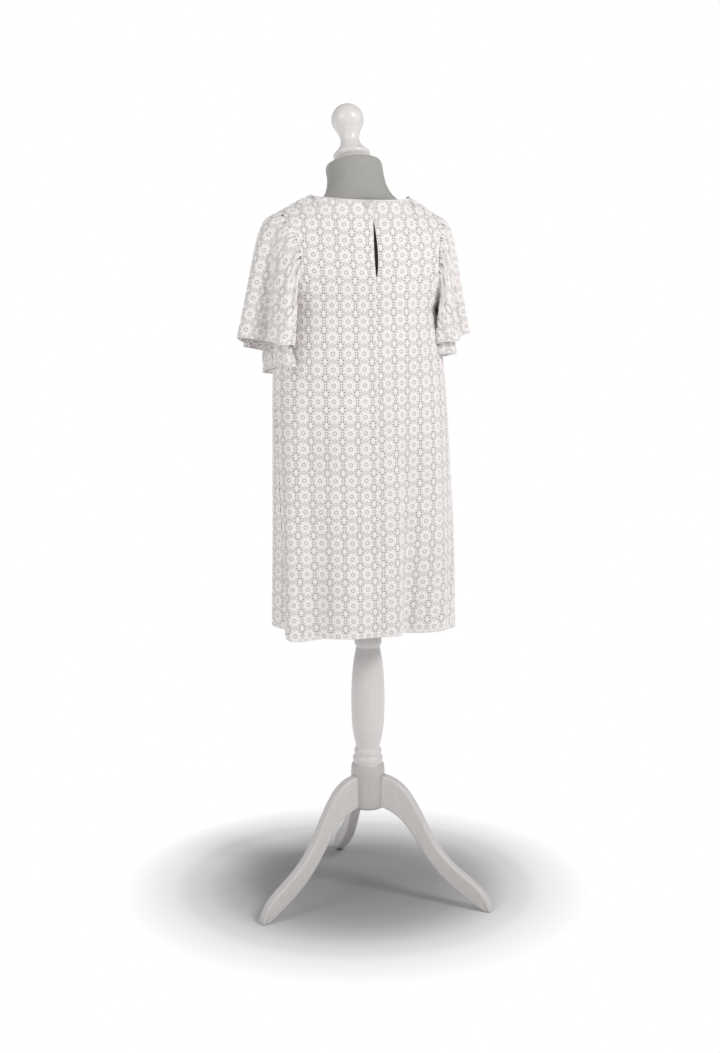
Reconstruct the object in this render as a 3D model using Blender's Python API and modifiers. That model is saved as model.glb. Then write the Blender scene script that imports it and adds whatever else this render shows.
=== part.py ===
"""White lace shift dress on a limbless dress form, which stands on a turned post with three legs.

Metres, +Z up. The dress faces -Y, so its back, with the slit and the button, faces +Y, and the
wearer's left is +X. While it is modelled, the post's axis is x = 0, y = 0 and the floor is z = 0. At
the end the whole part moves sideways, so that the middle of its box is above the origin.

Each cloth piece is a grid of points through computed section curves, with a wall to its inner side.
"""
import math
from collections import namedtuple

import bpy
from mathutils import Matrix, Vector

MM = 0.001

# ---------------------------------------------------------------- driving dimensions

SEAM_GAP = 0.3 * MM        # between two pieces that are sewn or seated together
BODY_X = 0.010             # the form stands this far to the wearer's left of the post

# The body of the dress, from the hem up to the underarm: one row for each section. x is measured
# from the form's middle plane, y from the post.
SkirtRow = namedtuple("SkirtRow", "back_z front_z half_width middle_x side_y back_y front_y steps")
SKIRT = (
    SkirtRow(0.558, 0.576, 0.1860, -0.0080, 0.003, 0.0920, -0.1230, 1),
    SkirtRow(0.620, 0.632, 0.1860, -0.0076, 0.003, 0.0912, -0.1240, 1),
    SkirtRow(0.750, 0.760, 0.1840, -0.0064, 0.000, 0.0880, -0.1280, 2),
    SkirtRow(0.900, 0.905, 0.1805, -0.0044, -0.010, 0.0830, -0.1330, 2),
    SkirtRow(1.050, 1.050, 0.1750, -0.0022, -0.021, 0.0765, -0.1390, 2),
    SkirtRow(1.130, 1.130, 0.1680, -0.0008, -0.028, 0.0720, -0.1440, 1),
    SkirtRow(1.190, 1.190, 0.1600, 0.0, -0.032, 0.0690, -0.1455, 1),
)
# Above the underarm a row ends on the armhole, at this angle round it from the underarm. The arc is
# how much of a quarter ellipse the row's curve takes, so a small one is nearly straight.
YokeRow = namedtuple("YokeRow", "angle back_z back_y back_arc front_z front_y front_arc")
YOKE = (
    YokeRow(0, 1.190, 0.0690, 90, 1.190, -0.1455, 90),
    YokeRow(30, 1.213, 0.0680, 80, 1.209, -0.1440, 80),
    YokeRow(60, 1.243, 0.0660, 69, 1.232, -0.1370, 69),
    YokeRow(90, 1.278, 0.0620, 60, 1.257, -0.1260, 60),
    YokeRow(120, 1.315, 0.0565, 56, 1.280, -0.1155, 57),
    YokeRow(150, 1.352, 0.0500, 56, 1.302, -0.1075, 58),
)
YOKE_STEPS = 2             # rows of the mesh for each row of the table
NECK_HALF_WIDTH = 0.101    # from the middle to the end of the shoulder seam at the neck
NECK_SIDE_Y = -0.020
NECK_SIDE_Z = 1.4000
NECK_BACK_Y = 0.0430
NECK_BACK_Z = 1.3890
NECK_FRONT_Y = -0.1020
NECK_FRONT_Z = 1.3250
NECK_SHARE = 0.54          # share of the top row's columns that lies on the neckline
SHOULDER_BOW = 0.0015      # how far the shoulder seam bows up between its ends

ARMHOLE_MID_X = 0.139      # x of the armhole at its back and front
ARMHOLE_LOW_X = 0.021      # how much further out the underarm is
ARMHOLE_TOP_X = 0.027      # how much further out the shoulder tip is
ARMHOLE_Y = -0.032
ARMHOLE_BACK_REACH = 0.071
ARMHOLE_FRONT_REACH = 0.074
ARMHOLE_Z = 1.277
ARMHOLE_HALF_HEIGHT = 0.087

BODY_WALL = 1.5 * MM       # lace with the plain lining under it
SLEEVE_WALL = 1.0 * MM     # lace alone
HALF_COLUMNS = 18          # columns of the mesh from a panel's middle to its edge

# The slit in the back seam, which gapes below the button.
SLIT_LOW_Z = 1.243
SLIT_HIGH_Z = 1.360
SLIT_LEFT_GAPE = 3.0 * MM
SLIT_RIGHT_GAPE = 6.0 * MM

# Folds that run down the skirt. The angle goes round from the back seam, + to the wearer's left.
# A ridge stands out by the depth at the hem, a valley (negative) goes in.
Fold = namedtuple("Fold", "angle width depth top_z")
FOLDS = (
    Fold(88, 11, -0.0080, 1.12),
    Fold(60, 13, 0.0095, 1.16),
    Fold(40, 10, -0.0075, 1.10),
    Fold(18, 14, 0.0030, 1.10),
    Fold(-11, 9, 0.0050, 1.16),
    Fold(-25, 9, -0.0090, 1.16),
    Fold(-44, 11, 0.0085, 1.18),
    Fold(-67, 11, -0.0055, 1.10),
    Fold(-92, 12, 0.0045, 1.12),
    Fold(-116, 12, -0.0070, 1.08),
    Fold(-140, 13, 0.0080, 1.12),
    Fold(-163, 11, -0.0060, 1.06),
    Fold(174, 12, 0.0060, 1.10),
    Fold(152, 11, -0.0075, 1.08),
    Fold(130, 12, 0.0065, 1.10),
    Fold(111, 11, 0.0080, 1.12),
)
FOLD_GROWTH = 1.25         # 1 is a fold that deepens evenly down to the hem
# Where the hem hangs lower than the rest.
Dip = namedtuple("Dip", "angle width drop")
HEM_DIPS = (Dip(57, 18, 0.010), Dip(-28, 14, 0.005), Dip(-82, 30, 0.020))
HEM_DIP_TOP_Z = 0.80

# The sleeves. Each is a tube from the armhole to a hem ring that is wavy, and bent round the body.
# The angle goes round from the underarm: 90 is the back, 180 the outer side, 270 the front.
# Under outer is how far the under layer hangs inside the outer one on its outer side.
SleeveSide = namedtuple("SleeveSide", "name side back_y front_y outer_x under_outer under_rows")
SLEEVE_SIDES = (
    SleeveSide("left", 1, 0.0480, -0.1280, 0.2360, 0.0440, (1.12, 1.23)),
    SleeveSide("right", -1, 0.0340, -0.1280, 0.2340, 0.0360, (1.07, 1.14)),
)
SLEEVE_HEM_Z = 1.1170      # of the outer layer
SLEEVE_HEM_TILT = 0.015    # the hem is this much higher on the outer side, and lower underneath
SLEEVE_BACK_RISE = 0.008   # and this much higher at the back, lower at the front
SLEEVE_INNER_X = 0.1765    # of the hem's side next to the body
SLEEVE_BEND = 0.040        # how far the hem's back and front ends bend in round the body
SLEEVE_START = 1.2 * MM    # the sleeve begins this far outside the panel's edge
# How far a layer is inside the outer one: at the armhole, and at the outer layer's hem on the side
# next to the body, at the back and at the front. The wave is the share of the flutes' depth.
SleeveLayer = namedtuple("SleeveLayer", "name start_inset start_out inner back front wave")
SLEEVE_LAYERS = (
    SleeveLayer("outer", 0.0, 0.0, 0.0, 0.0, 0.0, 1.0),
    SleeveLayer("under", 2.4 * MM, 1.8 * MM, 0.0030, 0.0080, 0.0380, 0.55),
)
UNDER_SLANT = 0.5          # how much further in its front half hangs than its back half
Flute = namedtuple("Flute", "angle width depth")
FLUTES = (
    Flute(72, 14, 0.004),
    Flute(106, 17, 0.010),
    Flute(139, 14, -0.011),
    Flute(172, 16, 0.007),
    Flute(205, 14, -0.010),
    Flute(238, 16, 0.009),
    Flute(268, 14, -0.007),
    Flute(298, 15, 0.006),
)
FLUTE_GROWTH = 1.5         # 1 is a flute that deepens evenly from the armhole to the hem
SLEEVE_COLUMNS = 36
SLEEVE_ROWS = 7

# Button and loop at the nape.
BUTTON_RADIUS = 6.5 * MM
BUTTON_HEIGHT = 3.0 * MM
BUTTON_FROM_SEAM = 9.0 * MM
BUTTON_BELOW_NECK = 6.8 * MM
BUTTON_LIFT = 1.2 * MM     # between the cloth and the button's back
LOOP_WIRE = 0.5 * MM
LOOP_GAP = 0.4 * MM        # between the button's rim and the loop
LOOP_REACH = 0.0135        # length of the loop's two straight ends

# The dress form: one row for each ring of its jersey cover, from the hips up. A power of 1 is an
# ellipse, and a larger one gives that half of the ring a narrower end. The tilt in degrees is how
# far a ring leans forward.
FormRing = namedtuple("FormRing", "z half_width side_y back_y front_y back_power front_power tilt")
FORM = (
    FormRing(0.7350, 0.1500, -0.014, 0.0680, -0.0960, 1.00, 1.00, 0),
    FormRing(0.7420, 0.1550, -0.014, 0.0720, -0.1000, 1.00, 1.00, 0),
    FormRing(0.8000, 0.1600, -0.015, 0.0745, -0.1050, 1.00, 1.00, 0),
    FormRing(0.8600, 0.1600, -0.016, 0.0735, -0.1060, 1.00, 1.00, 0),
    FormRing(0.9200, 0.1500, -0.018, 0.0660, -0.1010, 1.00, 1.00, 0),
    FormRing(0.9700, 0.1310, -0.019, 0.0560, -0.0930, 1.00, 1.00, 0),
    FormRing(1.0100, 0.1230, -0.020, 0.0520, -0.0900, 1.00, 1.00, 0),
    FormRing(1.0600, 0.1280, -0.022, 0.0550, -0.1010, 1.00, 1.00, 0),
    FormRing(1.1100, 0.1380, -0.025, 0.0590, -0.1200, 1.00, 0.95, 0),
    FormRing(1.1550, 0.1460, -0.028, 0.0610, -0.1360, 1.00, 0.95, 0),
    FormRing(1.2000, 0.1500, -0.031, 0.0610, -0.1330, 1.00, 1.00, 0),
    FormRing(1.2500, 0.1540, -0.032, 0.0590, -0.1150, 1.00, 1.00, 0),
    FormRing(1.3000, 0.1590, -0.031, 0.0530, -0.0940, 1.05, 1.20, 0),
    FormRing(1.3350, 0.1600, -0.030, 0.0470, -0.0830, 1.15, 1.90, 0),
    FormRing(1.3550, 0.1580, -0.029, 0.0420, -0.0780, 1.30, 3.00, 0),
    FormRing(1.3680, 0.1535, -0.028, 0.0390, -0.0765, 1.50, 3.70, 0),
    FormRing(1.3770, 0.1375, -0.027, 0.0370, -0.0765, 1.60, 4.20, 0),
    FormRing(1.3850, 0.1095, -0.026, 0.0355, -0.0775, 1.35, 3.80, 1),
    FormRing(1.3920, 0.0810, -0.026, 0.0340, -0.0795, 1.10, 2.20, 3),
    FormRing(1.4040, 0.0655, -0.030, 0.0265, -0.0840, 1.00, 1.10, 6),
    FormRing(1.4200, 0.0580, -0.036, 0.0160, -0.0880, 1.00, 1.00, 9),
    FormRing(1.4400, 0.0550, -0.043, 0.0080, -0.0940, 1.00, 1.00, 14),
    FormRing(1.4545, 0.0545, -0.050, 0.0015, -0.1020, 1.00, 1.00, 18),
    FormRing(1.4600, 0.0525, -0.0525, -0.0025, -0.1025, 1.00, 1.00, 18),
    FormRing(1.4625, 0.0475, -0.0533, -0.0083, -0.0983, 1.00, 1.00, 18),
)
FORM_COLUMNS = 32
NECK_TILT = math.radians(18)

# Turned pieces: (height, radius) from the top down. Rounded stretches are computed.
FINIAL_BASE = Vector((0.0, -0.0560, 1.4617))
FINIAL_BALL_RADIUS = 0.0313
FINIAL_BALL_Z = 0.0895
FINIAL_PROFILE = (
    (0.0660, 0.0228), (0.0580, 0.0193), (0.0500, 0.0181), (0.0430, 0.0186), (0.0360, 0.0216),
    (0.0290, 0.0268), (0.0240, 0.0322), (0.0205, 0.0352), (0.0175, 0.0358), (0.0140, 0.0350),
    (0.0100, 0.0320), (0.0000, 0.0315),
)
POST_PROFILE = (
    (0.5560, 0.0200), (0.5550, 0.0262), (0.5530, 0.0272), (0.5270, 0.0272), (0.5225, 0.0262),
    (0.5190, 0.0236), (0.5160, 0.0238), (0.4890, 0.0287), (0.4726, 0.0307), (0.4400, 0.0328),
    (0.4064, 0.0335), (0.3800, 0.0330), (0.3544, 0.0316), (0.3300, 0.0279), (0.3110, 0.0234),
)
Bead = namedtuple("Bead", "z radius half_height")
POST_BEADS = (Bead(0.3015, 0.0276, 0.0072), Bead(0.2860, 0.0303, 0.0072))
HUB_PROFILE = (
    (0.2780, 0.0288), (0.2755, 0.0318), (0.2700, 0.0333), (0.2580, 0.0340), (0.1930, 0.0340),
    (0.1880, 0.0330), (0.1850, 0.0305), (0.1845, 0.0270),
)
HUB_RADIUS = 0.0340
POST_TOP = 0.5560
POLE_RADIUS = 0.0125
TURNED_STEPS = 21
# Legs: three boards, cut to an S. (distance from the post's axis, height) along the two edges.
LEG_TOP_EDGE = (
    (0.0343, 0.2550), (0.0560, 0.2490), (0.0780, 0.2350), (0.0980, 0.2110), (0.1160, 0.1815),
    (0.1340, 0.1490), (0.1560, 0.1160), (0.1800, 0.0910), (0.2070, 0.0705), (0.2320, 0.0530),
    (0.2500, 0.0360), (0.2610, 0.0180), (0.2660, 0.0030),
)
LEG_UNDER_EDGE = (
    (0.2520, 0.0000), (0.2420, 0.0050), (0.2170, 0.0200), (0.1900, 0.0375), (0.1610, 0.0610),
    (0.1350, 0.0890), (0.1130, 0.1190), (0.0970, 0.1420), (0.0780, 0.1640), (0.0570, 0.1790),
    (0.0343, 0.1880),
)
LEG_TOE = (0.2650, 0.0000)
LEG_THICKNESS = 0.0210
LEG_EDGE_ROUND = 0.0030
LEG_STEPS = 2              # points of the outline for each point of the two tables
LEG_AZIMUTHS = (16.5, 136.2, 262.2)

Paint = namedtuple("Paint", "colour roughness")
PAINTS = {
    "lace": Paint((0.88, 0.87, 0.85), 0.75),
    "jersey": Paint((0.33, 0.33, 0.31), 0.9),
    "white_paint": Paint((0.80, 0.79, 0.78), 0.4),
    "finial_paint": Paint((0.86, 0.85, 0.83), 0.25),
    "steel": Paint((0.55, 0.55, 0.55), 0.4),
    "button": Paint((0.80, 0.79, 0.76), 0.2),
    "thread": Paint((0.85, 0.84, 0.82), 0.8),
}


# ---------------------------------------------------------------- scene and mesh helpers

def clear_scene():
    for obj in list(bpy.data.objects):
        bpy.data.objects.remove(obj, do_unlink=True)


def new_collection(name):
    collection = bpy.data.collections.new(name)
    bpy.context.scene.collection.children.link(collection)
    return collection


def paint(obj, name, paint_name):
    """Give the object its own material in one of the named paints."""
    look = PAINTS[paint_name]
    material = bpy.data.materials.new(name + "_material")
    material.use_nodes = True
    shader = material.node_tree.nodes["Principled BSDF"]
    shader.inputs["Base Color"].default_value = (*look.colour, 1.0)
    shader.inputs["Roughness"].default_value = look.roughness
    shader.inputs["Metallic"].default_value = 0.0
    obj.data.materials.append(material)


def add_mesh(name, points, faces, paint_name, collection):
    mesh = bpy.data.meshes.new(name)
    mesh.from_pydata([tuple(p) for p in points], [], faces)
    mesh.update()
    mesh.shade_smooth()
    obj = bpy.data.objects.new(name, mesh)
    collection.objects.link(obj)
    paint(obj, name, paint_name)
    return obj


def grid_faces(rows, columns, wrap=False, flip=False):
    """Quads over a grid of points that is stored row by row."""
    faces = []
    for r in range(rows - 1):
        for c in range(columns if wrap else columns - 1):
            d = (c + 1) % columns
            quad = (r * columns + c, r * columns + d, (r + 1) * columns + d, (r + 1) * columns + c)
            faces.append(tuple(reversed(quad)) if flip else quad)
    return faces


def grid_normals(rows, wrap, flip):
    """The unit normal at each point of a grid, on the cloth's outer side."""
    count = len(rows[0])
    normals = [[Vector() for _ in row] for row in rows]
    for r in range(len(rows) - 1):
        for c in range(count if wrap else count - 1):
            d = (c + 1) % count
            across = rows[r + 1][d] - rows[r][c]
            other = rows[r + 1][c] - rows[r][d]
            normal = across.cross(other) * (-1 if flip else 1)
            for point in (normals[r][c], normals[r][d], normals[r + 1][d], normals[r + 1][c]):
                point += normal
    for row in normals:
        for normal in row:
            normal.normalize()
    return normals


def add_cloth(name, rows, normals, wall, paint_name, collection, wrap=False, flip=False):
    """A cloth piece: the rows of points are its outer side, and the wall goes inward from them."""
    height, width = len(rows), len(rows[0])
    points = [p for row in rows for p in row]
    inner = [p - n * wall for row, line in zip(rows, normals) for p, n in zip(row, line)]
    start = len(points)
    faces = grid_faces(height, width, wrap, flip)
    faces += [tuple(start + i for i in reversed(face)) for face in faces]
    rim = []
    columns = range(width if wrap else width - 1)
    rim += [(c, (c + 1) % width) for c in columns]
    last = (height - 1) * width
    rim += [(last + (c + 1) % width, last + c) for c in columns]
    if not wrap:
        rim += [((r + 1) * width, r * width) for r in range(height - 1)]
        rim += [(r * width + width - 1, (r + 1) * width + width - 1) for r in range(height - 1)]
    for a, b in rim:
        quad = (b, a, start + a, start + b)
        faces.append(tuple(reversed(quad)) if flip else quad)
    return add_mesh(name, points + inner, faces, paint_name, collection)


def add_turned(name, profile, paint_name, collection, matrix=Matrix.Identity(4)):
    """A piece turned about its own Z axis, from (height, radius) pairs that run from the top down."""
    points = [(0.0, 0.0, profile[0][0])]
    points += [(radius, 0.0, height) for height, radius in profile]
    points.append((0.0, 0.0, profile[-1][0]))
    mesh = bpy.data.meshes.new(name)
    mesh.from_pydata(points, [(i, i + 1) for i in range(len(points) - 1)], [])
    obj = bpy.data.objects.new(name, mesh)
    collection.objects.link(obj)
    screw = obj.modifiers.new("turn", "SCREW")
    screw.steps = TURNED_STEPS
    screw.render_steps = TURNED_STEPS
    screw.use_merge_vertices = True
    screw.merge_threshold = 0.00001
    screw.use_smooth_shade = True
    obj.matrix_world = matrix
    paint(obj, name, paint_name)
    return obj


def smooth_path(points, steps):
    """A smooth curve through the points, with the given number of steps in each span."""
    count = len(points)
    spans = [(points[i + 1] - points[i]).length for i in range(count - 1)]
    slopes = []
    for i in range(count):
        if i == 0:
            slopes.append((points[1] - points[0]) / spans[0])
        elif i == count - 1:
            slopes.append((points[-1] - points[-2]) / spans[-1])
        else:
            before = (points[i] - points[i - 1]) / spans[i - 1]
            after = (points[i + 1] - points[i]) / spans[i]
            slopes.append((before * spans[i] + after * spans[i - 1]) / (spans[i - 1] + spans[i]))
    path = [points[0].copy()]
    for i in range(count - 1):
        for k in range(1, steps[i] + 1):
            t = k / steps[i]
            a = 2 * t ** 3 - 3 * t ** 2 + 1
            b = t ** 3 - 2 * t ** 2 + t
            c = t ** 3 - t ** 2
            path.append(points[i] * a + slopes[i] * (b * spans[i])
                        + points[i + 1] * (1 - a) + slopes[i + 1] * (c * spans[i]))
    return path


def bump(x, middle, width):
    """A smooth hump of height 1 about the middle, on a circle of 360 degrees."""
    away = (x - middle + 180) % 360 - 180
    return math.exp(-(away / width) ** 2)


# ---------------------------------------------------------------- the body of the dress

def armhole_point(angle):
    """A point of the armhole's seam line, on the side where x is positive."""
    a = math.radians(angle)
    out = ARMHOLE_LOW_X if math.cos(a) > 0 else ARMHOLE_TOP_X
    reach = ARMHOLE_BACK_REACH if math.sin(a) > 0 else ARMHOLE_FRONT_REACH
    return Vector((ARMHOLE_MID_X + out * math.cos(a) ** 2,
                   ARMHOLE_Y + reach * math.sin(a),
                   ARMHOLE_Z - ARMHOLE_HALF_HEIGHT * math.cos(a)))


def arc_point(middle, edge, arc, share):
    """A point on a row: part of an ellipse from the middle of the panel to its edge."""
    whole = math.radians(arc)
    here = whole * share
    level = (math.cos(here) - math.cos(whole)) / (1 - math.cos(whole))
    return Vector((edge.x * math.sin(here) / math.sin(whole),
                   edge.y + (middle.y - edge.y) * level,
                   edge.z + (middle.z - edge.z) * level))


def top_point(back, share):
    """A point on the top row: the neckline, and then the shoulder seam out to the armhole."""
    neck_y = NECK_BACK_Y if back else NECK_FRONT_Y
    neck_z = NECK_BACK_Z if back else NECK_FRONT_Z
    if share <= NECK_SHARE:
        a = math.radians(90) * share / NECK_SHARE
        return Vector((NECK_HALF_WIDTH * math.sin(a),
                       NECK_SIDE_Y + (neck_y - NECK_SIDE_Y) * math.cos(a),
                       NECK_SIDE_Z + (neck_z - NECK_SIDE_Z) * math.cos(a)))
    t = (share - NECK_SHARE) / (1 - NECK_SHARE)
    neck = Vector((NECK_HALF_WIDTH, NECK_SIDE_Y, NECK_SIDE_Z))
    point = neck.lerp(armhole_point(180), t)
    point.z += SHOULDER_BOW * math.sin(math.pi * t)
    return point


def yoke_rows(back):
    """The rows above the underarm: for each the armhole's angle, the middle point and the arc."""
    if back:
        table = [Vector((row.angle, row.back_z, row.back_y, row.back_arc)) for row in YOKE]
    else:
        table = [Vector((row.angle, row.front_z, row.front_y, row.front_arc)) for row in YOKE]
    rows = []
    for angle, z, y, arc in smooth_path(table, [YOKE_STEPS] * (len(table) - 1)):
        rows.append((angle, Vector((0, y, z)), arc))
    return rows


def yoke_point(back, row, share):
    angle, middle, arc = row
    return arc_point(middle, armhole_point(angle if back else 360 - angle), arc, share)


def skirt_point(back, row, share):
    middle = Vector((0, row.back_y if back else row.front_y, row.back_z if back else row.front_z))
    edge = Vector((row.half_width, row.side_y, (row.back_z + row.front_z) / 2))
    return arc_point(middle, edge, 90, share)


def fold_offset(angle, z, hem_z):
    """How far the folds move the cloth outward, at an angle round the body and a height."""
    offset = 0.0
    for fold in FOLDS:
        if z < fold.top_z:
            strength = ((fold.top_z - z) / (fold.top_z - hem_z)) ** FOLD_GROWTH
            offset += fold.depth * strength * bump(angle, fold.angle, fold.width)
    return offset


def hem_dip(angle, z, hem_z):
    """How much lower the cloth hangs near the hem, at an angle round the body and a height."""
    if z > HEM_DIP_TOP_Z:
        return 0.0
    strength = (HEM_DIP_TOP_Z - z) / (HEM_DIP_TOP_Z - hem_z)
    return strength * sum(dip.drop * bump(angle, dip.angle, dip.width) for dip in HEM_DIPS)


def slit_gape(z, side):
    """Half of the slit's opening at a height, on the wearer's left (+1) or right (-1)."""
    if not SLIT_LOW_Z < z < SLIT_HIGH_Z:
        return 0.0
    t = (z - SLIT_LOW_Z) / (SLIT_HIGH_Z - SLIT_LOW_Z)
    gape = SLIT_LEFT_GAPE if side > 0 else SLIT_RIGHT_GAPE
    return gape * math.sin(math.pi * t ** 0.75) ** 0.8


def middle_shift(z):
    """How far both sides of the skirt hang over to the wearer's left, at a height."""
    rows = [Vector((row.back_z, row.middle_x, 0)) for row in SKIRT]
    if z >= rows[-1].x:
        return 0.0
    for low, high in zip(rows, rows[1:]):
        if z < high.x:
            break
    return low.y + (high.y - low.y) * (z - low.x) / (high.x - low.x)


def panel_column(back, side, share):
    """One column of a panel, from the hem to the top, with its folds."""
    skirt = [skirt_point(back, row, share) for row in SKIRT]
    yoke = [yoke_point(back, row, share) for row in yoke_rows(back)]
    top = top_point(back, share)
    steps = [row.steps for row in SKIRT[:-1]]
    low = smooth_path(skirt + [yoke[1]], steps + [1])[:-1]
    high = [yoke[-2], yoke[-1], top]
    if share > NECK_SHARE:
        # At the shoulder seam the column goes on over the shoulder, down the other panel.
        high.append(yoke_point(not back, yoke_rows(not back)[-1], share))
    path = low + yoke[1:-1] + smooth_path(high, [1] + [YOKE_STEPS] + [1] * (len(high) - 3))[1:]
    if share > NECK_SHARE:
        path.pop()
    between = armhole_point(165 if back else 195)
    path[-2] += (between - path[-2]) * share ** 12
    column = []
    for point in path:
        angle = 90 * share if back else 180 - 90 * share
        out = Vector((math.sin(math.radians(angle)), math.cos(math.radians(angle)), 0))
        point = point + out * fold_offset(side * angle, point.z, skirt[0].z)
        point.z -= hem_dip(side * angle, point.z, skirt[0].z)
        if back:
            point.x += slit_gape(point.z, side) * (1 - share) ** 4
        point.x = BODY_X + side * point.x + middle_shift(point.z) * share
        column.append(point)
    return column


def panel_rows(back, sides):
    """The rows of a panel's outer side. A panel that covers one side begins at the back seam."""
    columns = []
    for side in sides:
        shares = [i / HALF_COLUMNS for i in range(HALF_COLUMNS + 1)]
        half = [panel_column(back, side, share) for share in shares]
        if side < 0 and len(sides) == 2:
            columns = list(reversed(half))[:-1]
        else:
            columns += half
    return [[column[r] for column in columns] for r in range(len(columns[0]))]


def place_key(point):
    return (round(point.x * 1e5), round(point.y * 1e5), round(point.z * 1e5))


def meet_side_seams(front, backs):
    """Give the front and the back the same points along the side seams."""
    for rows, front_column in zip(backs, (-1, 0)):
        for r in range(sum(row.steps for row in SKIRT[:-1]) + 1):
            point = (front[r][front_column] + rows[r][-1]) / 2
            front[r][front_column] = point.copy()
            rows[r][-1] = point.copy()


def seam_shift(edge, before, after, inside, normal):
    """How far to move a seam's point back from the seam, along the cloth."""
    away = normal.cross(after - before).normalized()
    if away.dot(inside - edge) < 0:
        away = -away
    return away * (SEAM_GAP / 2)


def trimmed(rows, normals, left_seam, right_seam):
    """The rows with their edge columns and shoulder seams moved back by half of the seam's gap."""
    top, side_rows = len(rows) - 1, sum(row.steps for row in SKIRT[:-1]) + 1
    result = [[p.copy() for p in row] for row in rows]
    for column, inner, whole in ((0, 1, left_seam), (-1, -2, right_seam)):
        for r in range(top + 1 if whole else side_rows):
            before, after = rows[max(r - 1, 0)][column], rows[min(r + 1, top)][column]
            result[r][column] += seam_shift(rows[r][column], before, after, rows[r][inner], normals[r][column])
    width = len(rows[0])
    for c in range(width):
        if abs(rows[top][c].x - BODY_X) >= NECK_HALF_WIDTH - MM:
            before, after = rows[top][max(c - 1, 0)], rows[top][min(c + 1, width - 1)]
            result[top][c] += seam_shift(rows[top][c], before, after, rows[top - 1][c], normals[top][c])
    return result


def build_panels(collection):
    front = panel_rows(False, (-1, 1))
    left = panel_rows(True, (1,))
    right = panel_rows(True, (-1,))
    meet_side_seams(front, (left, right))
    pieces = (("dress_front", front, False, False), ("dress_back_left", left, True, True),
              ("dress_back_right", right, False, True))
    shared = {}
    grids = []
    for name, rows, flip, back in pieces:
        normals = grid_normals(rows, False, flip)
        grids.append(normals)
        for row, line in zip(rows, normals):
            for point, normal in zip(row, line):
                key = place_key(point)
                shared[key] = shared.get(key, Vector()) + normal
    for (name, rows, flip, back), normals in zip(pieces, grids):
        smooth = [[shared[place_key(p)].normalized() for p in row] for row in rows]
        moved = trimmed(rows, smooth, back, False)
        add_cloth(name, moved, smooth, BODY_WALL, "lace", collection, flip=flip)


# ---------------------------------------------------------------- sleeves

def sleeve_hem_point(sleeve, layer, angle):
    """A point of a layer at the outer hem's level, without its flutes; x is from the middle plane."""
    a = math.radians(angle)
    half_x = (sleeve.outer_x - SLEEVE_INNER_X) / 2
    back_y = sleeve.back_y - layer.back
    front_y = sleeve.front_y + layer.front
    y = (back_y + front_y) / 2 + (back_y - front_y) / 2 * math.sin(a)
    from_middle = (2 * y - sleeve.back_y - sleeve.front_y) / (sleeve.back_y - sleeve.front_y)
    x = SLEEVE_INNER_X + half_x * (1 - math.cos(a)) - SLEEVE_BEND * from_middle ** 2
    x += layer.inner * (1 - math.sin(a / 2) ** 4)
    if layer.name == "under":
        x -= sleeve.under_outer * math.sin(a / 2) ** 4 * (1 - UNDER_SLANT * math.sin(a))
    z = SLEEVE_HEM_Z - SLEEVE_HEM_TILT * math.cos(a) + SLEEVE_BACK_RISE * math.sin(a)
    return Vector((x, y, z))


def sleeve_point(sleeve, layer, angle, share):
    """A point of a layer's plain tube: share 0 is at the armhole and 1 at the outer hem's level."""
    a = math.radians(angle)
    seam = armhole_point(angle)
    to_middle = Vector((0, ARMHOLE_Y - seam.y, ARMHOLE_Z - seam.z)).normalized()
    end = sleeve_hem_point(sleeve, layer, angle)
    top = math.sin(a / 2) ** 2
    out = SLEEVE_START + layer.start_out * (1 - top)
    start = seam + Vector((out, 0, 0)) + to_middle * layer.start_inset
    drop = start.z - end.z
    way = Vector((1, 0.35 * math.sin(a) * (1 - top), 0)).normalized()
    leave = start + way * (0.004 + 0.036 * top ** 1.5) - Vector((0, 0, 0.004 * (1 - top) + 0.007 * top))
    hang = end + Vector((-0.030 * top, -0.04 * end.y, (0.45 + 0.13 * top) * drop))
    if layer.name == "under":
        hang.x += 0.35 * sleeve.under_outer * top
    t = min(share, 1)
    point = start * (1 - t) ** 3 + leave * (3 * (1 - t) ** 2 * t) + hang * (3 * (1 - t) * t * t) + end * t ** 3
    if share > 1:
        point += (end - hang).normalized() * (share - 1) * drop * 1.25
    return point


def flute_depth(angle, share):
    wave = sum(flute.depth * bump(angle, flute.angle, flute.width) for flute in FLUTES)
    return wave * min(share, 1.1) ** FLUTE_GROWTH


def sleeve_layer(sleeve, layer):
    """The rows of a layer's outer side, and their normals."""
    angles = [360 * c / SLEEVE_COLUMNS for c in range(SLEEVE_COLUMNS)]
    shares = [r / SLEEVE_ROWS for r in range(SLEEVE_ROWS + 1)]
    if layer.name == "under":
        shares += sleeve.under_rows
    rows = []
    for share in shares:
        row = [sleeve_point(sleeve, layer, angle, share) for angle in angles]
        rows.append([Vector((BODY_X + sleeve.side * p.x, p.y, p.z)) for p in row])
    flip = sleeve.side < 0
    normals = grid_normals(rows, True, flip)
    for share, row, line in zip(shares, rows, normals):
        for angle, point, normal in zip(angles, row, line):
            point += normal * flute_depth(angle, share) * layer.wave
    return rows, grid_normals(rows, True, flip)


def build_sleeves(collection):
    for sleeve in SLEEVE_SIDES:
        for layer in SLEEVE_LAYERS:
            rows, normals = sleeve_layer(sleeve, layer)
            name = f"sleeve_{sleeve.name}_{layer.name}"
            add_cloth(name, rows, normals, SLEEVE_WALL, "lace", collection, wrap=True,
                      flip=sleeve.side < 0)


# ---------------------------------------------------------------- button and loop

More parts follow.
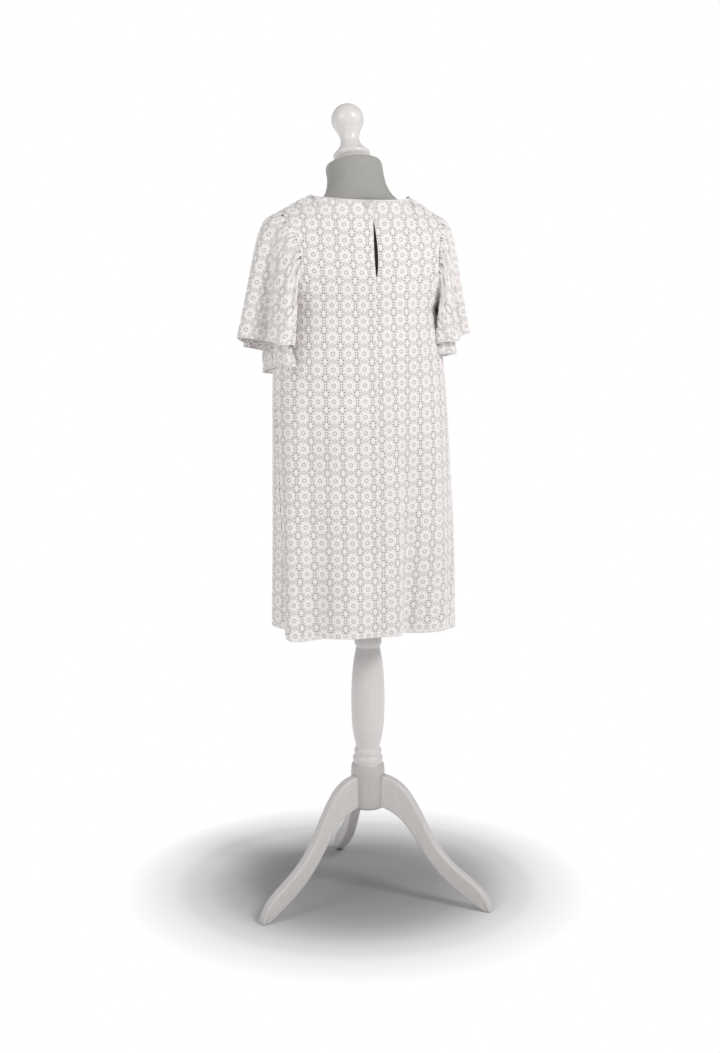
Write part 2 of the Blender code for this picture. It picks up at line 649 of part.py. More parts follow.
def nape_place():
    """Where the button sits on the left back panel, and its turn: its axis stands out of the cloth."""
    near = panel_column(True, 1, 0)
    far = panel_column(True, 1, 2 / HALF_COLUMNS)
    top, below = near[-1], near[-2]
    along = (top - below).normalized()
    across = (far[-1] - top).normalized()
    normal = across.cross(along)
    if normal.y < 0:
        normal = -normal
    across = along.cross(normal).normalized()
    if across.x < 0:
        across = -across
    place = top + across * BUTTON_FROM_SEAM - along * BUTTON_BELOW_NECK
    place += normal * (BUTTON_LIFT + BUTTON_HEIGHT / 2)
    return place, across, along, normal


def build_button(collection):
    place, across, along, normal = nape_place()
    half = BUTTON_HEIGHT / 2
    rim = BUTTON_RADIUS
    profile = ((half * 0.6, rim * 0.5), (half * 0.7, rim * 0.66), (half, rim * 0.8),
               (half * 0.6, rim * 0.97), (-half * 0.2, rim), (-half, rim * 0.8))
    turn = Matrix((across, along, across.cross(along))).transposed().to_4x4()
    if across.cross(along).dot(normal) < 0:
        turn = Matrix((along, across, along.cross(across))).transposed().to_4x4()
    add_turned("nape_button", profile, "button", collection, Matrix.Translation(place) @ turn)

    radius = BUTTON_RADIUS + LOOP_GAP + LOOP_WIRE
    centre = place - normal * (half * 0.2)
    points = [centre - across * LOOP_REACH + along * radius]
    for k in range(9):
        a = math.radians(90 - 180 * k / 8)
        points.append(centre + across * math.cos(a) * radius + along * math.sin(a) * radius)
    points.append(centre - across * LOOP_REACH - along * radius)
    curve = bpy.data.curves.new("nape_loop", "CURVE")
    curve.dimensions = "3D"
    curve.bevel_depth = LOOP_WIRE
    curve.bevel_resolution = 1
    curve.render_resolution_u = 0
    curve.use_fill_caps = True
    spline = curve.splines.new("POLY")
    spline.points.add(len(points) - 1)
    for item, point in zip(spline.points, points):
        item.co = (*point, 1.0)
    obj = bpy.data.objects.new("nape_loop", curve)
    collection.objects.link(obj)
    paint(obj, "nape_loop", "thread")


# ---------------------------------------------------------------- dress form and stand

def form_ring(ring):
    """The points of one ring, anticlockwise seen from above."""
    points = []
    for c in range(FORM_COLUMNS):
        a = 2 * math.pi * c / FORM_COLUMNS
        if math.sin(a) > 0:
            y = ring.side_y + (ring.back_y - ring.side_y) * abs(math.sin(a)) ** ring.back_power
        else:
            y = ring.side_y + (ring.front_y - ring.side_y) * abs(math.sin(a)) ** ring.front_power
        z = ring.z + math.tan(math.radians(ring.tilt)) * (y - ring.side_y)
        points.append(Vector((BODY_X + ring.half_width * math.cos(a), y, z)))
    return points


def build_form(collection):
    rows = [form_ring(ring) for ring in FORM]
    points = [p for row in rows for p in row]
    faces = grid_faces(len(rows), FORM_COLUMNS, wrap=True)
    faces.append(tuple(reversed(range(FORM_COLUMNS))))
    faces.append(tuple(range(len(points) - FORM_COLUMNS, len(points))))
    add_mesh("form_torso", points, faces, "jersey", collection)


def build_finial(collection):
    ball = []
    for k in range(1, 9):
        a = math.radians(90 - 16.5 * k)
        ball.append((FINIAL_BALL_Z + FINIAL_BALL_RADIUS * math.sin(a), FINIAL_BALL_RADIUS * math.cos(a)))
    lean = Matrix.Rotation(NECK_TILT, 4, "X")
    base = FINIAL_BASE + lean.to_3x3() @ Vector((0, 0, SEAM_GAP))
    base.x += BODY_X
    add_turned("form_finial", ball + list(FINIAL_PROFILE), "finial_paint", collection,
               Matrix.Translation(base) @ lean)


def bead_profile(bead):
    """A rounded ring: half an ellipse from its top groove to its bottom groove."""
    profile = []
    for k in range(1, 6):
        a = math.radians(90 - 30 * k)
        profile.append((bead.z + bead.half_height * math.sin(a), bead.radius - 0.0042 * (1 - math.cos(a))))
    return profile


def build_post(collection):
    profile = list(POST_PROFILE)
    for bead in POST_BEADS:
        profile += bead_profile(bead)
    profile += list(HUB_PROFILE)
    add_turned("stand_post", profile, "white_paint", collection)
    pole_top = FORM[0].z - SEAM_GAP
    pole_low = POST_TOP + SEAM_GAP
    bpy.ops.mesh.primitive_cylinder_add(vertices=24, radius=POLE_RADIUS, depth=pole_top - pole_low,
                                        location=(0, 0, (pole_top + pole_low) / 2))
    pole = bpy.context.object
    pole.name = "stand_pole"
    pole.data.name = "stand_pole"
    for owner in list(pole.users_collection):
        owner.objects.unlink(pole)
    collection.objects.link(pole)
    paint(pole, "stand_pole", "steel")


def leg_outline():
    """The leg's outline, in (distance from the axis, height): down the top edge, back underneath."""
    top = smooth_path([Vector(p) for p in LEG_TOP_EDGE], [LEG_STEPS] * (len(LEG_TOP_EDGE) - 1))
    under = smooth_path([Vector(p) for p in LEG_UNDER_EDGE], [LEG_STEPS] * (len(LEG_UNDER_EDGE) - 1))
    return top + [Vector(LEG_TOE)] + under


def build_legs(collection):
    outline = leg_outline()
    for number, azimuth in enumerate(LEG_AZIMUTHS, start=1):
        name = f"stand_leg_{number}"
        curve = bpy.data.curves.new(name, "CURVE")
        curve.dimensions = "2D"
        curve.fill_mode = "BOTH"
        curve.extrude = LEG_THICKNESS / 2
        curve.render_resolution_u = 0
        spline = curve.splines.new("POLY")
        spline.points.add(len(outline) - 1)
        for item, point in zip(spline.points, outline):
            item.co = (point.x, point.y, 0.0, 1.0)
        spline.use_cyclic_u = True
        obj = bpy.data.objects.new(name, curve)
        collection.objects.link(obj)
        obj.matrix_world = Matrix.Rotation(math.radians(azimuth), 4, "Z") @ Matrix.Rotation(math.pi / 2, 4, "X")
        weld = obj.modifiers.new("weld", "WELD")
        weld.merge_threshold = 0.00001
        bevel = obj.modifiers.new("eased_edges", "BEVEL")
        bevel.width = LEG_EDGE_ROUND
        bevel.segments = 2
        bevel.limit_method = "ANGLE"
        bevel.angle_limit = math.radians(60)
        bevel.use_clamp_overlap = True
        paint(obj, name, "white_paint")


# ---------------------------------------------------------------- the whole

def centre_over_origin(collection):
    """Move everything sideways together, so that the middle of the part's box is over the origin."""
    bpy.context.view_layer.update()
    graph = bpy.context.evaluated_depsgraph_get()
    points = []
    for obj in collection.objects:
        seen = obj.evaluated_get(graph)
        points += [seen.matrix_world @ vertex.co for vertex in seen.to_mesh().vertices]
        seen.to_mesh_clear()
    shift = Vector((-(min(p.x for p in points) + max(p.x for p in points)) / 2,
                    -(min(p.y for p in points) + max(p.y for p in points)) / 2, 0))
    for obj in collection.objects:
        obj.matrix_world = Matrix.Translation(shift) @ obj.matrix_world


def main():
    clear_scene()
    collection = new_collection("lace_dress")
    build_panels(collection)
    build_sleeves(collection)
    build_button(collection)
    build_form(collection)
    build_finial(collection)
    build_post(collection)
    build_legs(collection)
    centre_over_origin(collection)


main()
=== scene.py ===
"""The looks of a white lace dress on a dress form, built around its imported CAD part.

Metres, +Z up; the dress faces -Y and its back faces +Y. The tables and the functions that give the
cloth its form are the same as the CAD part's, and are worked out here on a finer grid.
"""
import math
from collections import namedtuple

import bpy
import numpy as np
from mathutils import Matrix, Vector
from mathutils.geometry import delaunay_2d_cdt
from mathutils.kdtree import KDTree


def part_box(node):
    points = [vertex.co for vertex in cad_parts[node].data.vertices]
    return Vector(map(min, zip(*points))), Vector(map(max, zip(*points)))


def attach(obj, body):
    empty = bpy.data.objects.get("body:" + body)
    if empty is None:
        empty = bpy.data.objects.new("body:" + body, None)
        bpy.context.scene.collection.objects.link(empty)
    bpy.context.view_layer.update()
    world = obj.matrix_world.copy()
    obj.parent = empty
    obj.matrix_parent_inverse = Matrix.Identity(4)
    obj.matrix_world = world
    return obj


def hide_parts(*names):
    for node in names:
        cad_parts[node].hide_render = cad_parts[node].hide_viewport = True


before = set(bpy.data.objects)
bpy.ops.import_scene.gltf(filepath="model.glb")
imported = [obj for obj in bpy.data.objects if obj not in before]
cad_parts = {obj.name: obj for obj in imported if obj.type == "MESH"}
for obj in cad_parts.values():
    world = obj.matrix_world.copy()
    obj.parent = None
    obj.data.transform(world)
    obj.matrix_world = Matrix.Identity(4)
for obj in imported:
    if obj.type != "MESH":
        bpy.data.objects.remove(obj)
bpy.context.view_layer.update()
POST_LO, POST_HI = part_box("stand_post")
AXIS = Vector(((POST_LO.x + POST_HI.x) / 2, (POST_LO.y + POST_HI.y) / 2, 0))

# ---------------------------------------------------------------- dimensions, as in the CAD part

MM = 0.001

SEAM_GAP = 0.3 * MM        # between two pieces that are sewn or seated together
BODY_X = 0.010             # the form stands this far to the wearer's left of the post

# The body of the dress, from the hem up to the underarm: one row for each section. x is measured
# from the form's middle plane, y from the post.
SkirtRow = namedtuple("SkirtRow", "back_z front_z half_width middle_x side_y back_y front_y steps")
SKIRT = [SkirtRow(*row) for row in (
    (0.558, 0.576, 0.1860, -0.0080, 0.003, 0.0920, -0.1230, 1),
    (0.620, 0.632, 0.1860, -0.0076, 0.003, 0.0912, -0.1240, 1),
    (0.750, 0.760, 0.1840, -0.0064, 0.000, 0.0880, -0.1280, 2),
    (0.900, 0.905, 0.1805, -0.0044, -0.010, 0.0830, -0.1330, 2),
    (1.050, 1.050, 0.1750, -0.0022, -0.021, 0.0765, -0.1390, 2),
    (1.130, 1.130, 0.1680, -0.0008, -0.028, 0.0720, -0.1440, 1),
    (1.190, 1.190, 0.1600, 0.0, -0.032, 0.0690, -0.1455, 1),
)]
# Above the underarm a row ends on the armhole, at this angle round it from the underarm. The arc is
# how much of a quarter ellipse the row's curve takes, so a small one is nearly straight.
YokeRow = namedtuple("YokeRow", "angle back_z back_y back_arc front_z front_y front_arc")
YOKE = [YokeRow(*row) for row in (
    (0, 1.190, 0.0690, 90, 1.190, -0.1455, 90),
    (30, 1.213, 0.0680, 80, 1.209, -0.1440, 80),
    (60, 1.243, 0.0660, 69, 1.232, -0.1370, 69),
    (90, 1.278, 0.0620, 60, 1.257, -0.1260, 60),
    (120, 1.315, 0.0565, 56, 1.280, -0.1155, 57),
    (150, 1.352, 0.0500, 56, 1.302, -0.1075, 58),
)]
FINE = 4                   # rows of the fine grid for each 15 degrees of the armhole
FINE_COLUMNS = 72          # columns of the fine grid from a panel's middle to its edge
NECK_HALF_WIDTH = 0.101    # from the middle to the end of the shoulder seam at the neck
NECK_SIDE_Y = -0.020
NECK_SIDE_Z = 1.4000
NECK_BACK_Y = 0.0430
NECK_BACK_Z = 1.3890
NECK_FRONT_Y = -0.1020
NECK_FRONT_Z = 1.3250
NECK_SHARE = 0.54          # share of the top row's columns that lies on the neckline
SHOULDER_BOW = 0.0015      # how far the shoulder seam bows up between its ends

ARMHOLE_MID_X = 0.139      # x of the armhole at its back and front
ARMHOLE_LOW_X = 0.021      # how much further out the underarm is
ARMHOLE_TOP_X = 0.027      # how much further out the shoulder tip is
ARMHOLE_Y = -0.032
ARMHOLE_BACK_REACH = 0.071
ARMHOLE_FRONT_REACH = 0.074
ARMHOLE_Z = 1.277
ARMHOLE_HALF_HEIGHT = 0.087

# The slit in the back seam, which gapes below the button.
SLIT_LOW_Z = 1.243
SLIT_HIGH_Z = 1.360
SLIT_LEFT_GAPE = 3.0 * MM
SLIT_RIGHT_GAPE = 6.0 * MM

# Folds that run down the skirt. The angle goes round from the back seam, + to the wearer's left.
# A ridge stands out by the depth at the hem, a valley (negative) goes in.
Fold = namedtuple("Fold", "angle width depth top_z")
FOLDS = [Fold(*row) for row in (
    (88, 11, -0.0080, 1.12), (60, 13, 0.0095, 1.16), (40, 10, -0.0075, 1.10),
    (18, 14, 0.0030, 1.10), (-11, 9, 0.0050, 1.16), (-25, 9, -0.0090, 1.16),
    (-44, 11, 0.0085, 1.18), (-67, 11, -0.0055, 1.10), (-92, 12, 0.0045, 1.12),
    (-116, 12, -0.0070, 1.08), (-140, 13, 0.0080, 1.12), (-163, 11, -0.0060, 1.06),
    (174, 12, 0.0060, 1.10), (152, 11, -0.0075, 1.08), (130, 12, 0.0065, 1.10),
    (111, 11, 0.0080, 1.12),
)]
FOLD_GROWTH = 1.25         # 1 is a fold that deepens evenly down to the hem
# Where the hem hangs lower than the rest.
Dip = namedtuple("Dip", "angle width drop")
HEM_DIPS = (Dip(57, 18, 0.010), Dip(-28, 14, 0.005), Dip(-82, 30, 0.020))
HEM_DIP_TOP_Z = 0.80

SLEEVE_COLUMNS = 144
SLEEVE_ROWS = 42

# The sleeves. Each is a tube from the armhole to a hem ring that is wavy, and bent round the body.
# The angle goes round from the underarm: 90 is the back, 180 the outer side, 270 the front.
# Under outer is how far the under layer hangs inside the outer one on its outer side.
SleeveSide = namedtuple("SleeveSide", "name side back_y front_y outer_x under_outer under_rows")
SLEEVE_SIDES = (
    SleeveSide("left", 1, 0.0480, -0.1280, 0.2360, 0.0440, (1.12, 1.23)),
    SleeveSide("right", -1, 0.0340, -0.1280, 0.2340, 0.0360, (1.07, 1.14)),
)
SLEEVE_HEM_Z = 1.1170      # of the outer layer
SLEEVE_HEM_TILT = 0.015    # the hem is this much higher on the outer side, and lower underneath
SLEEVE_BACK_RISE = 0.008   # and this much higher at the back, lower at the front
SLEEVE_INNER_X = 0.1765    # of the hem's side next to the body
SLEEVE_BEND = 0.040        # how far the hem's back and front ends bend in round the body
SLEEVE_START = 1.2 * MM    # the sleeve begins this far outside the panel's edge
# How far a layer is inside the outer one: at the armhole, and at the outer layer's hem on the side
# next to the body, at the back and at the front. The wave is the share of the flutes' depth.
SleeveLayer = namedtuple("SleeveLayer", "name start_inset start_out inner back front wave")
SLEEVE_LAYERS = (
    SleeveLayer("outer", 0.0, 0.0, 0.0, 0.0, 0.0, 1.0),
    SleeveLayer("under", 2.4 * MM, 1.8 * MM, 0.0030, 0.0080, 0.0380, 0.55),
)
UNDER_SLANT = 0.5          # how much further in its front half hangs than its back half
# A layer follows a curve with two guide points. The first is where it leaves the armhole.
LEAVE_TURN = 0.35          # how far it turns to the back or front there
LEAVE_OUT = (0.004, 0.036)    # outward: underneath, and how much more over the shoulder tip
LEAVE_DOWN = (0.004, 0.007)   # down: underneath, and over the shoulder tip
# The second is above the hem, by a share of the drop: underneath, and how much more on the outside.
HANG_UP = (0.45, 0.13)
HANG_IN, HANG_ROUND = 0.030, 0.04   # and nearer to the body on the outside, and to its middle
UNDER_HANG = 0.35          # share of the under layer's inset by which it stays further out
UNDER_REACH = 1.25         # spacing of the rows below the outer hem, against those above it
Flute = namedtuple("Flute", "angle width depth")
FLUTES = [Flute(*row) for row in (
    (72, 14, 0.004), (106, 17, 0.010), (139, 14, -0.011), (172, 16, 0.007), (205, 14, -0.010),
    (238, 16, 0.009), (268, 14, -0.007), (298, 15, 0.006),
)]
FLUTE_GROWTH = 1.5         # 1 is a flute that deepens evenly from the armhole to the hem

# Button and loop at the nape.
BUTTON_RADIUS = 6.5 * MM
BUTTON_HEIGHT = 3.0 * MM
BUTTON_FROM_SEAM = 9.0 * MM
BUTTON_BELOW_NECK = 6.8 * MM
BUTTON_LIFT = 1.2 * MM     # between the cloth and the button's back
LOOP_WIRE = 0.5 * MM
LOOP_GAP = 0.4 * MM        # between the button's rim and the loop
LOOP_REACH = 0.0135        # length of the loop's two straight ends

FORM_COLUMNS = 96

# The dress form: one row for each ring of its jersey cover, from the hips up. A power of 1 is an
# ellipse, and a larger one gives that half of the ring a narrower end. The tilt in degrees is how
# far a ring leans forward.
FormRing = namedtuple("FormRing", "z half_width side_y back_y front_y back_power front_power tilt",
                      defaults=(1.0, 1.0, 0))
FORM = [FormRing(*row) for row in (
    (0.7350, 0.1500, -0.014, 0.0680, -0.0960),
    (0.7420, 0.1550, -0.014, 0.0720, -0.1000),
    (0.8000, 0.1600, -0.015, 0.0745, -0.1050),
    (0.8600, 0.1600, -0.016, 0.0735, -0.1060),
    (0.9200, 0.1500, -0.018, 0.0660, -0.1010),
    (0.9700, 0.1310, -0.019, 0.0560, -0.0930),
    (1.0100, 0.1230, -0.020, 0.0520, -0.0900),
    (1.0600, 0.1280, -0.022, 0.0550, -0.1010),
    (1.1100, 0.1380, -0.025, 0.0590, -0.1200, 1.00, 0.95, 0),
    (1.1550, 0.1460, -0.028, 0.0610, -0.1360, 1.00, 0.95, 0),
    (1.2000, 0.1500, -0.031, 0.0610, -0.1330),
    (1.2500, 0.1540, -0.032, 0.0590, -0.1150),
    (1.3000, 0.1590, -0.031, 0.0530, -0.0940, 1.05, 1.20, 0),
    (1.3350, 0.1600, -0.030, 0.0470, -0.0830, 1.15, 1.90, 0),
    (1.3550, 0.1580, -0.029, 0.0420, -0.0780, 1.30, 3.00, 0),
    (1.3680, 0.1535, -0.028, 0.0390, -0.0765, 1.50, 3.70, 0),
    (1.3770, 0.1375, -0.027, 0.0370, -0.0765, 1.60, 4.20, 0),
    (1.3850, 0.1095, -0.026, 0.0355, -0.0775, 1.35, 3.80, 1),
    (1.3920, 0.0810, -0.026, 0.0340, -0.0795, 1.10, 2.20, 3),
    (1.4040, 0.0655, -0.030, 0.0265, -0.0840, 1.00, 1.10, 6),
    (1.4200, 0.0580, -0.036, 0.0160, -0.0880, 1.00, 1.00, 9),
    (1.4400, 0.0550, -0.043, 0.0080, -0.0940, 1.00, 1.00, 14),
    (1.4545, 0.0545, -0.050, 0.0015, -0.1020, 1.00, 1.00, 18),
    (1.4600, 0.0525, -0.0525, -0.0025, -0.1025, 1.00, 1.00, 18),
    (1.4625, 0.0475, -0.0533, -0.0083, -0.0983, 1.00, 1.00, 18),
)]
NECK_TILT = math.radians(18)

# Turned pieces: (height, radius) from the top down. Rounded stretches are computed.
FINIAL_BASE = Vector((0.0, -0.0560, 1.4617))
FINIAL_BALL_RADIUS = 0.0313
FINIAL_BALL_Z = 0.0895
FINIAL_PROFILE = (
    (0.0660, 0.0228), (0.0580, 0.0193), (0.0500, 0.0181), (0.0430, 0.0186), (0.0360, 0.0216),
    (0.0290, 0.0268), (0.0240, 0.0322), (0.0205, 0.0352), (0.0175, 0.0358), (0.0140, 0.0350),
    (0.0100, 0.0320), (0.0000, 0.0315),
)
POST_PROFILE = (
    (0.5560, 0.0200), (0.5550, 0.0262), (0.5530, 0.0272), (0.5270, 0.0272), (0.5225, 0.0262),
    (0.5190, 0.0236), (0.5160, 0.0238), (0.4890, 0.0287), (0.4726, 0.0307), (0.4400, 0.0328),
    (0.4064, 0.0335), (0.3800, 0.0330), (0.3544, 0.0316), (0.3300, 0.0279), (0.3110, 0.0234),
)
Bead = namedtuple("Bead", "z radius half_height")
BEAD_GROOVE = 0.0042       # depth of the grooves above and below a bead
POST_BEADS = (Bead(0.3015, 0.0276, 0.0072), Bead(0.2860, 0.0303, 0.0072))
HUB_PROFILE = (
    (0.2780, 0.0288), (0.2755, 0.0318), (0.2700, 0.0333), (0.2580, 0.0340), (0.1930, 0.0340),
    (0.1880, 0.0330), (0.1850, 0.0305), (0.1845, 0.0270),
)
# Legs: three boards, cut to an S. (distance from the post's axis, height) along the two edges.
LEG_TOP_EDGE = (
    (0.0343, 0.2550), (0.0560, 0.2490), (0.0780, 0.2350), (0.0980, 0.2110), (0.1160, 0.1815),
    (0.1340, 0.1490), (0.1560, 0.1160), (0.1800, 0.0910), (0.2070, 0.0705), (0.2320, 0.0530),
    (0.2500, 0.0360), (0.2610, 0.0180), (0.2660, 0.0030),
)
LEG_UNDER_EDGE = (
    (0.2520, 0.0000), (0.2420, 0.0050), (0.2170, 0.0200), (0.1900, 0.0375), (0.1610, 0.0610),
    (0.1350, 0.0890), (0.1130, 0.1190), (0.0970, 0.1420), (0.0780, 0.1640), (0.0570, 0.1790),
    (0.0343, 0.1880),
)
LEG_TOE = (0.2650, 0.0000)
LEG_THICKNESS = 0.0210
LEG_AZIMUTHS = (16.5, 136.2, 262.2)

# ---------------------------------------------------------------- looks, in this script only

# The floor's painted shadow: (distance in metres from the round's middle, brightness).
FLOOR_SHADE = ((0.0, 0.30), (0.16, 0.38), (0.22, 0.47), (0.27, 0.63), (0.32, 0.85), (0.38, 1.0))
FLOOR_GLOW = (0.35, 0.48)  # between these distances it turns as white as the backdrop
FLOOR_AWAY = 0.050         # the round's middle lies this far behind the stand
FLOOR_ASIDE = -0.022       # and this far to the picture's right, so a little to its left
FLOOR_RADIUS = 12.0

# Creases that are too sharp for the CAD solids, laid over its folds and flutes.
CREASES = [Fold(*row) for row in (
    (88, 9, -0.0070, 1.10), (64, 6, 0.0050, 1.14), (48, 11, -0.0160, 1.12), (51, 4, -0.0050, 1.05),
    (18, 8, 0.0030, 1.10), (-10, 7, 0.0060, 1.16), (-22, 9, -0.0115, 1.14), (-20, 7, -0.0080, 0.92),
    (-44, 7, 0.0050, 1.18), (-67, 4, -0.0025, 1.10), (-116, 6, -0.0060, 1.08),
    (-140, 7, 0.0050, 1.12), (-163, 6, -0.0070, 1.06), (174, 7, 0.0045, 1.10),
    (152, 5, -0.0080, 1.08), (130, 7, 0.0050, 1.10),
)]
NARROW_FLUTES = [Flute(*row) for row in (
    (112, 9, 0.0030), (130, 8, 0.0060), (150, 9, -0.0300), (170, 9, 0.0050), (205, 8, -0.0045),
    (238, 9, 0.0030), (268, 8, -0.0030),
)]
SLEEVE_DIPS = (Dip(112, 20, 0.008), Dip(235, 40, 0.009))
SLEEVE_LOW = 0.4           # share of the way down from which a sleeve dips and shifts
# How much closer to the body the under layer's outer side hangs, and the sleeve's back inner edge,
# and the angle and the width of these stretches.
UNDER_SHIFT = {"left": 0.020, "right": 0.0}
UNDER_SHIFT_AT = (195, 75)
INNER_SHIFT = {"left": 0.0, "right": 0.017}
INNER_SHIFT_AT = (55, 34)
UNDER_KICK = 0.060         # the under layer's back edge kicks towards the body below the outer hem
UNDER_KICK_AT = (85, 45)
# Radii of the turned and sewn edges.
HEM_EDGE = 0.7 * MM
NECK_EDGE = 1.3 * MM
SLIT_EDGE = 0.7 * MM
SLIT_EDGE_BELOW = 2 * MM   # its strand runs this far on below the slit
ARMHOLE_SEAM = 1.5 * MM
ARMHOLE_SEAM_OUT = 0.5 * MM
TUBE_SIDES = 8
SLEEVE_ROW = 15.0          # from a sleeve's hem up to the middle of its first flower, in mm
# Painted shade on the lace by its relief: its brightness from deep places over the net (0.375) up
# to the raised stitches, by where the relief lies in its range in mm.
LACE_DEPTH_SHADE = ((0.0, 0.45), (0.22, 0.56), (0.375, 0.77), (0.60, 0.84), (0.9, 0.90))
RELIEF_LOW, RELIEF_HIGH = -0.6, 1.0
COTTON_WARM = 0.06         # how much less blue than red the cotton is
POLE_RADIUS = 0.0125
SLIT_HOLLOW = 0.018        # the form's back is hollow this deep behind the slit
HOLLOW_Z, HOLLOW_WIDTH, HOLLOW_HEIGHT = 1.30, 0.045, 0.11
LEG_ROUND = 0.0050

# Soft lamps, seen from the camera: name, metres to the right, nearer and up from the dress, size
# and power.
LIGHTS = (
    ("key", 2.2, 1.9, 2.2, 1.0, 56),
    ("left", -2.0, 1.8, 1.6, 1.6, 20),
    ("right", 2.6, 0.4, 1.0, 1.6, 6),
)
LIGHT_TARGET = 1.05        # height that the lamps point at
SOFT_LIGHT = 0.42          # strength of the even light from all round
# The lining is white; behind the lace's holes it is painted this dark, as painted shade.
LINING_SHADE = 0.10
FACING_TONE = 0.70         # of the lining's band at the neckline
FACING_EDGE = 0.008        # over which the band's tone fades
STRAND_LIFT = 0.0003       # of an edge strand's middle from the cloth
# Painted wood: tone, roughness, strength of the brush marks' relief, and how worn it is.
PAINTS = {
    "white_paint": (0.71, 0.38, 0.12, 0.07),
    "white_gloss_paint": (0.76, 0.22, 0.04, 0.07),
    # The legs and the hub take darker copies of the white paint: painted shade on the low parts near
    # the floor.
    "leg_shaded_paint": (0.67, 0.42, 0.12, 0.08),
    "hub_shaded_paint": (0.56, 0.42, 0.12, 0.08),
}
# The button's outline: shares of half its height and of its radius.
BUTTON_PROFILE = ((1, 0.42), (0.8, 0.6), (0.45, 0.86), (-0.1, 1), (-1, 0.8))
LOOP_STEPS = 24
BALL_ARC, BALL_STEPS = 132, 32   # degrees and steps from the knob's top down
LEG_INTO_HUB = 0.0015      # a leg's inner end runs this far into the hub

CAMERA_AZIMUTH = 158       # degrees round the part; 180 looks straight at the back
CAMERA_DISTANCE = 3.1      # on the floor plan, from the post's axis
CAMERA_HEIGHT = 1.269
CAMERA_PITCH = 9.328       # degrees down
CAMERA_TURN = -0.294
CAMERA_FOCUS = 1591.1      # focal length in pixels of the 720 x 1053 picture
PICTURE_HEIGHT = 1053


def smooth_path(points, steps):
    """A smooth curve through the points, with the given number of steps in each span."""
    count = len(points)
    spans = [(points[i + 1] - points[i]).length for i in range(count - 1)]
    slopes = []
    for i in range(count):
        if i == 0:
            slopes.append((points[1] - points[0]) / spans[0])
        elif i == count - 1:
            slopes.append((points[-1] - points[-2]) / spans[-1])
        else:
            before = (points[i] - points[i - 1]) / spans[i - 1]
            after = (points[i + 1] - points[i]) / spans[i]
            slopes.append((before * spans[i] + after * spans[i - 1]) / (spans[i - 1] + spans[i]))
    path = [points[0].copy()]
    for i in range(count - 1):
        for k in range(1, steps[i] + 1):
            t = k / steps[i]
            a = 2 * t ** 3 - 3 * t ** 2 + 1
            b = t ** 3 - 2 * t ** 2 + t
            c = t ** 3 - t ** 2
            path.append(points[i] * a + slopes[i] * (b * spans[i])
                        + points[i + 1] * (1 - a) + slopes[i + 1] * (c * spans[i]))
    return path


def bump(x, middle, width):
    """A smooth hump of height 1 about the middle. Angles go round at 360; lengths are far below it."""
    away = (x - middle + 180) % 360 - 180
    return math.exp(-(away / width) ** 2)


def armhole_point(angle):
    """A point of the armhole's seam line, on the side where x is positive."""
    a = math.radians(angle)
    out = ARMHOLE_LOW_X if math.cos(a) > 0 else ARMHOLE_TOP_X
    reach = ARMHOLE_BACK_REACH if math.sin(a) > 0 else ARMHOLE_FRONT_REACH
    return Vector((ARMHOLE_MID_X + out * math.cos(a) ** 2,
                   ARMHOLE_Y + reach * math.sin(a),
                   ARMHOLE_Z - ARMHOLE_HALF_HEIGHT * math.cos(a)))


def arc_point(middle, edge, arc, share):
    """A point on a row: part of an ellipse from the middle of the panel to its edge."""
    whole = math.radians(arc)
    here = whole * share
    level = (math.cos(here) - math.cos(whole)) / (1 - math.cos(whole))
    return Vector((edge.x * math.sin(here) / math.sin(whole),
                   edge.y + (middle.y - edge.y) * level,
                   edge.z + (middle.z - edge.z) * level))


def top_point(back, share):
    """A point on the top row: the neckline, and then the shoulder seam out to the armhole."""
    neck_y = NECK_BACK_Y if back else NECK_FRONT_Y
    neck_z = NECK_BACK_Z if back else NECK_FRONT_Z
    if share <= NECK_SHARE:
        a = math.radians(90) * share / NECK_SHARE
        return Vector((NECK_HALF_WIDTH * math.sin(a),
                       NECK_SIDE_Y + (neck_y - NECK_SIDE_Y) * math.cos(a),
                       NECK_SIDE_Z + (neck_z - NECK_SIDE_Z) * math.cos(a)))
    t = (share - NECK_SHARE) / (1 - NECK_SHARE)
    neck = Vector((NECK_HALF_WIDTH, NECK_SIDE_Y, NECK_SIDE_Z))
    point = neck.lerp(armhole_point(180), t)
    point.z += SHOULDER_BOW * math.sin(math.pi * t)
    return point


def yoke_rows(back):
    """The rows above the underarm: for each the armhole's angle, the middle point and the arc."""
    if back:
        table = [Vector((row.angle, row.back_z, row.back_y, row.back_arc)) for row in YOKE]
    else:
        table = [Vector((row.angle, row.front_z, row.front_y, row.front_arc)) for row in YOKE]
    rows = []
    for angle, z, y, arc in smooth_path(table, [2 * FINE] * (len(table) - 1)):
        rows.append((angle, Vector((0, y, z)), arc))
    return rows


def yoke_point(back, row, share):
    angle, middle, arc = row
    return arc_point(middle, armhole_point(angle if back else 360 - angle), arc, share)


def skirt_point(back, row, share):
    middle = Vector((0, row.back_y if back else row.front_y, row.back_z if back else row.front_z))
    edge = Vector((row.half_width, row.side_y, (row.back_z + row.front_z) / 2))
    return arc_point(middle, edge, 90, share)


def fold_offset(angle, z, hem_z):
    """How far the folds move the cloth outward, at an angle round the body and a height."""
    offset = 0.0
    for fold in FOLDS + CREASES:
        if z < fold.top_z:
            strength = ((fold.top_z - z) / (fold.top_z - hem_z)) ** FOLD_GROWTH
            offset += fold.depth * strength * bump(angle, fold.angle, fold.width)
    return offset


def hem_dip(angle, z, hem_z):
    """How much lower the cloth hangs near the hem, at an angle round the body and a height."""
    if z > HEM_DIP_TOP_Z:
        return 0.0
    strength = (HEM_DIP_TOP_Z - z) / (HEM_DIP_TOP_Z - hem_z)
    return strength * sum(dip.drop * bump(angle, dip.angle, dip.width) for dip in HEM_DIPS)


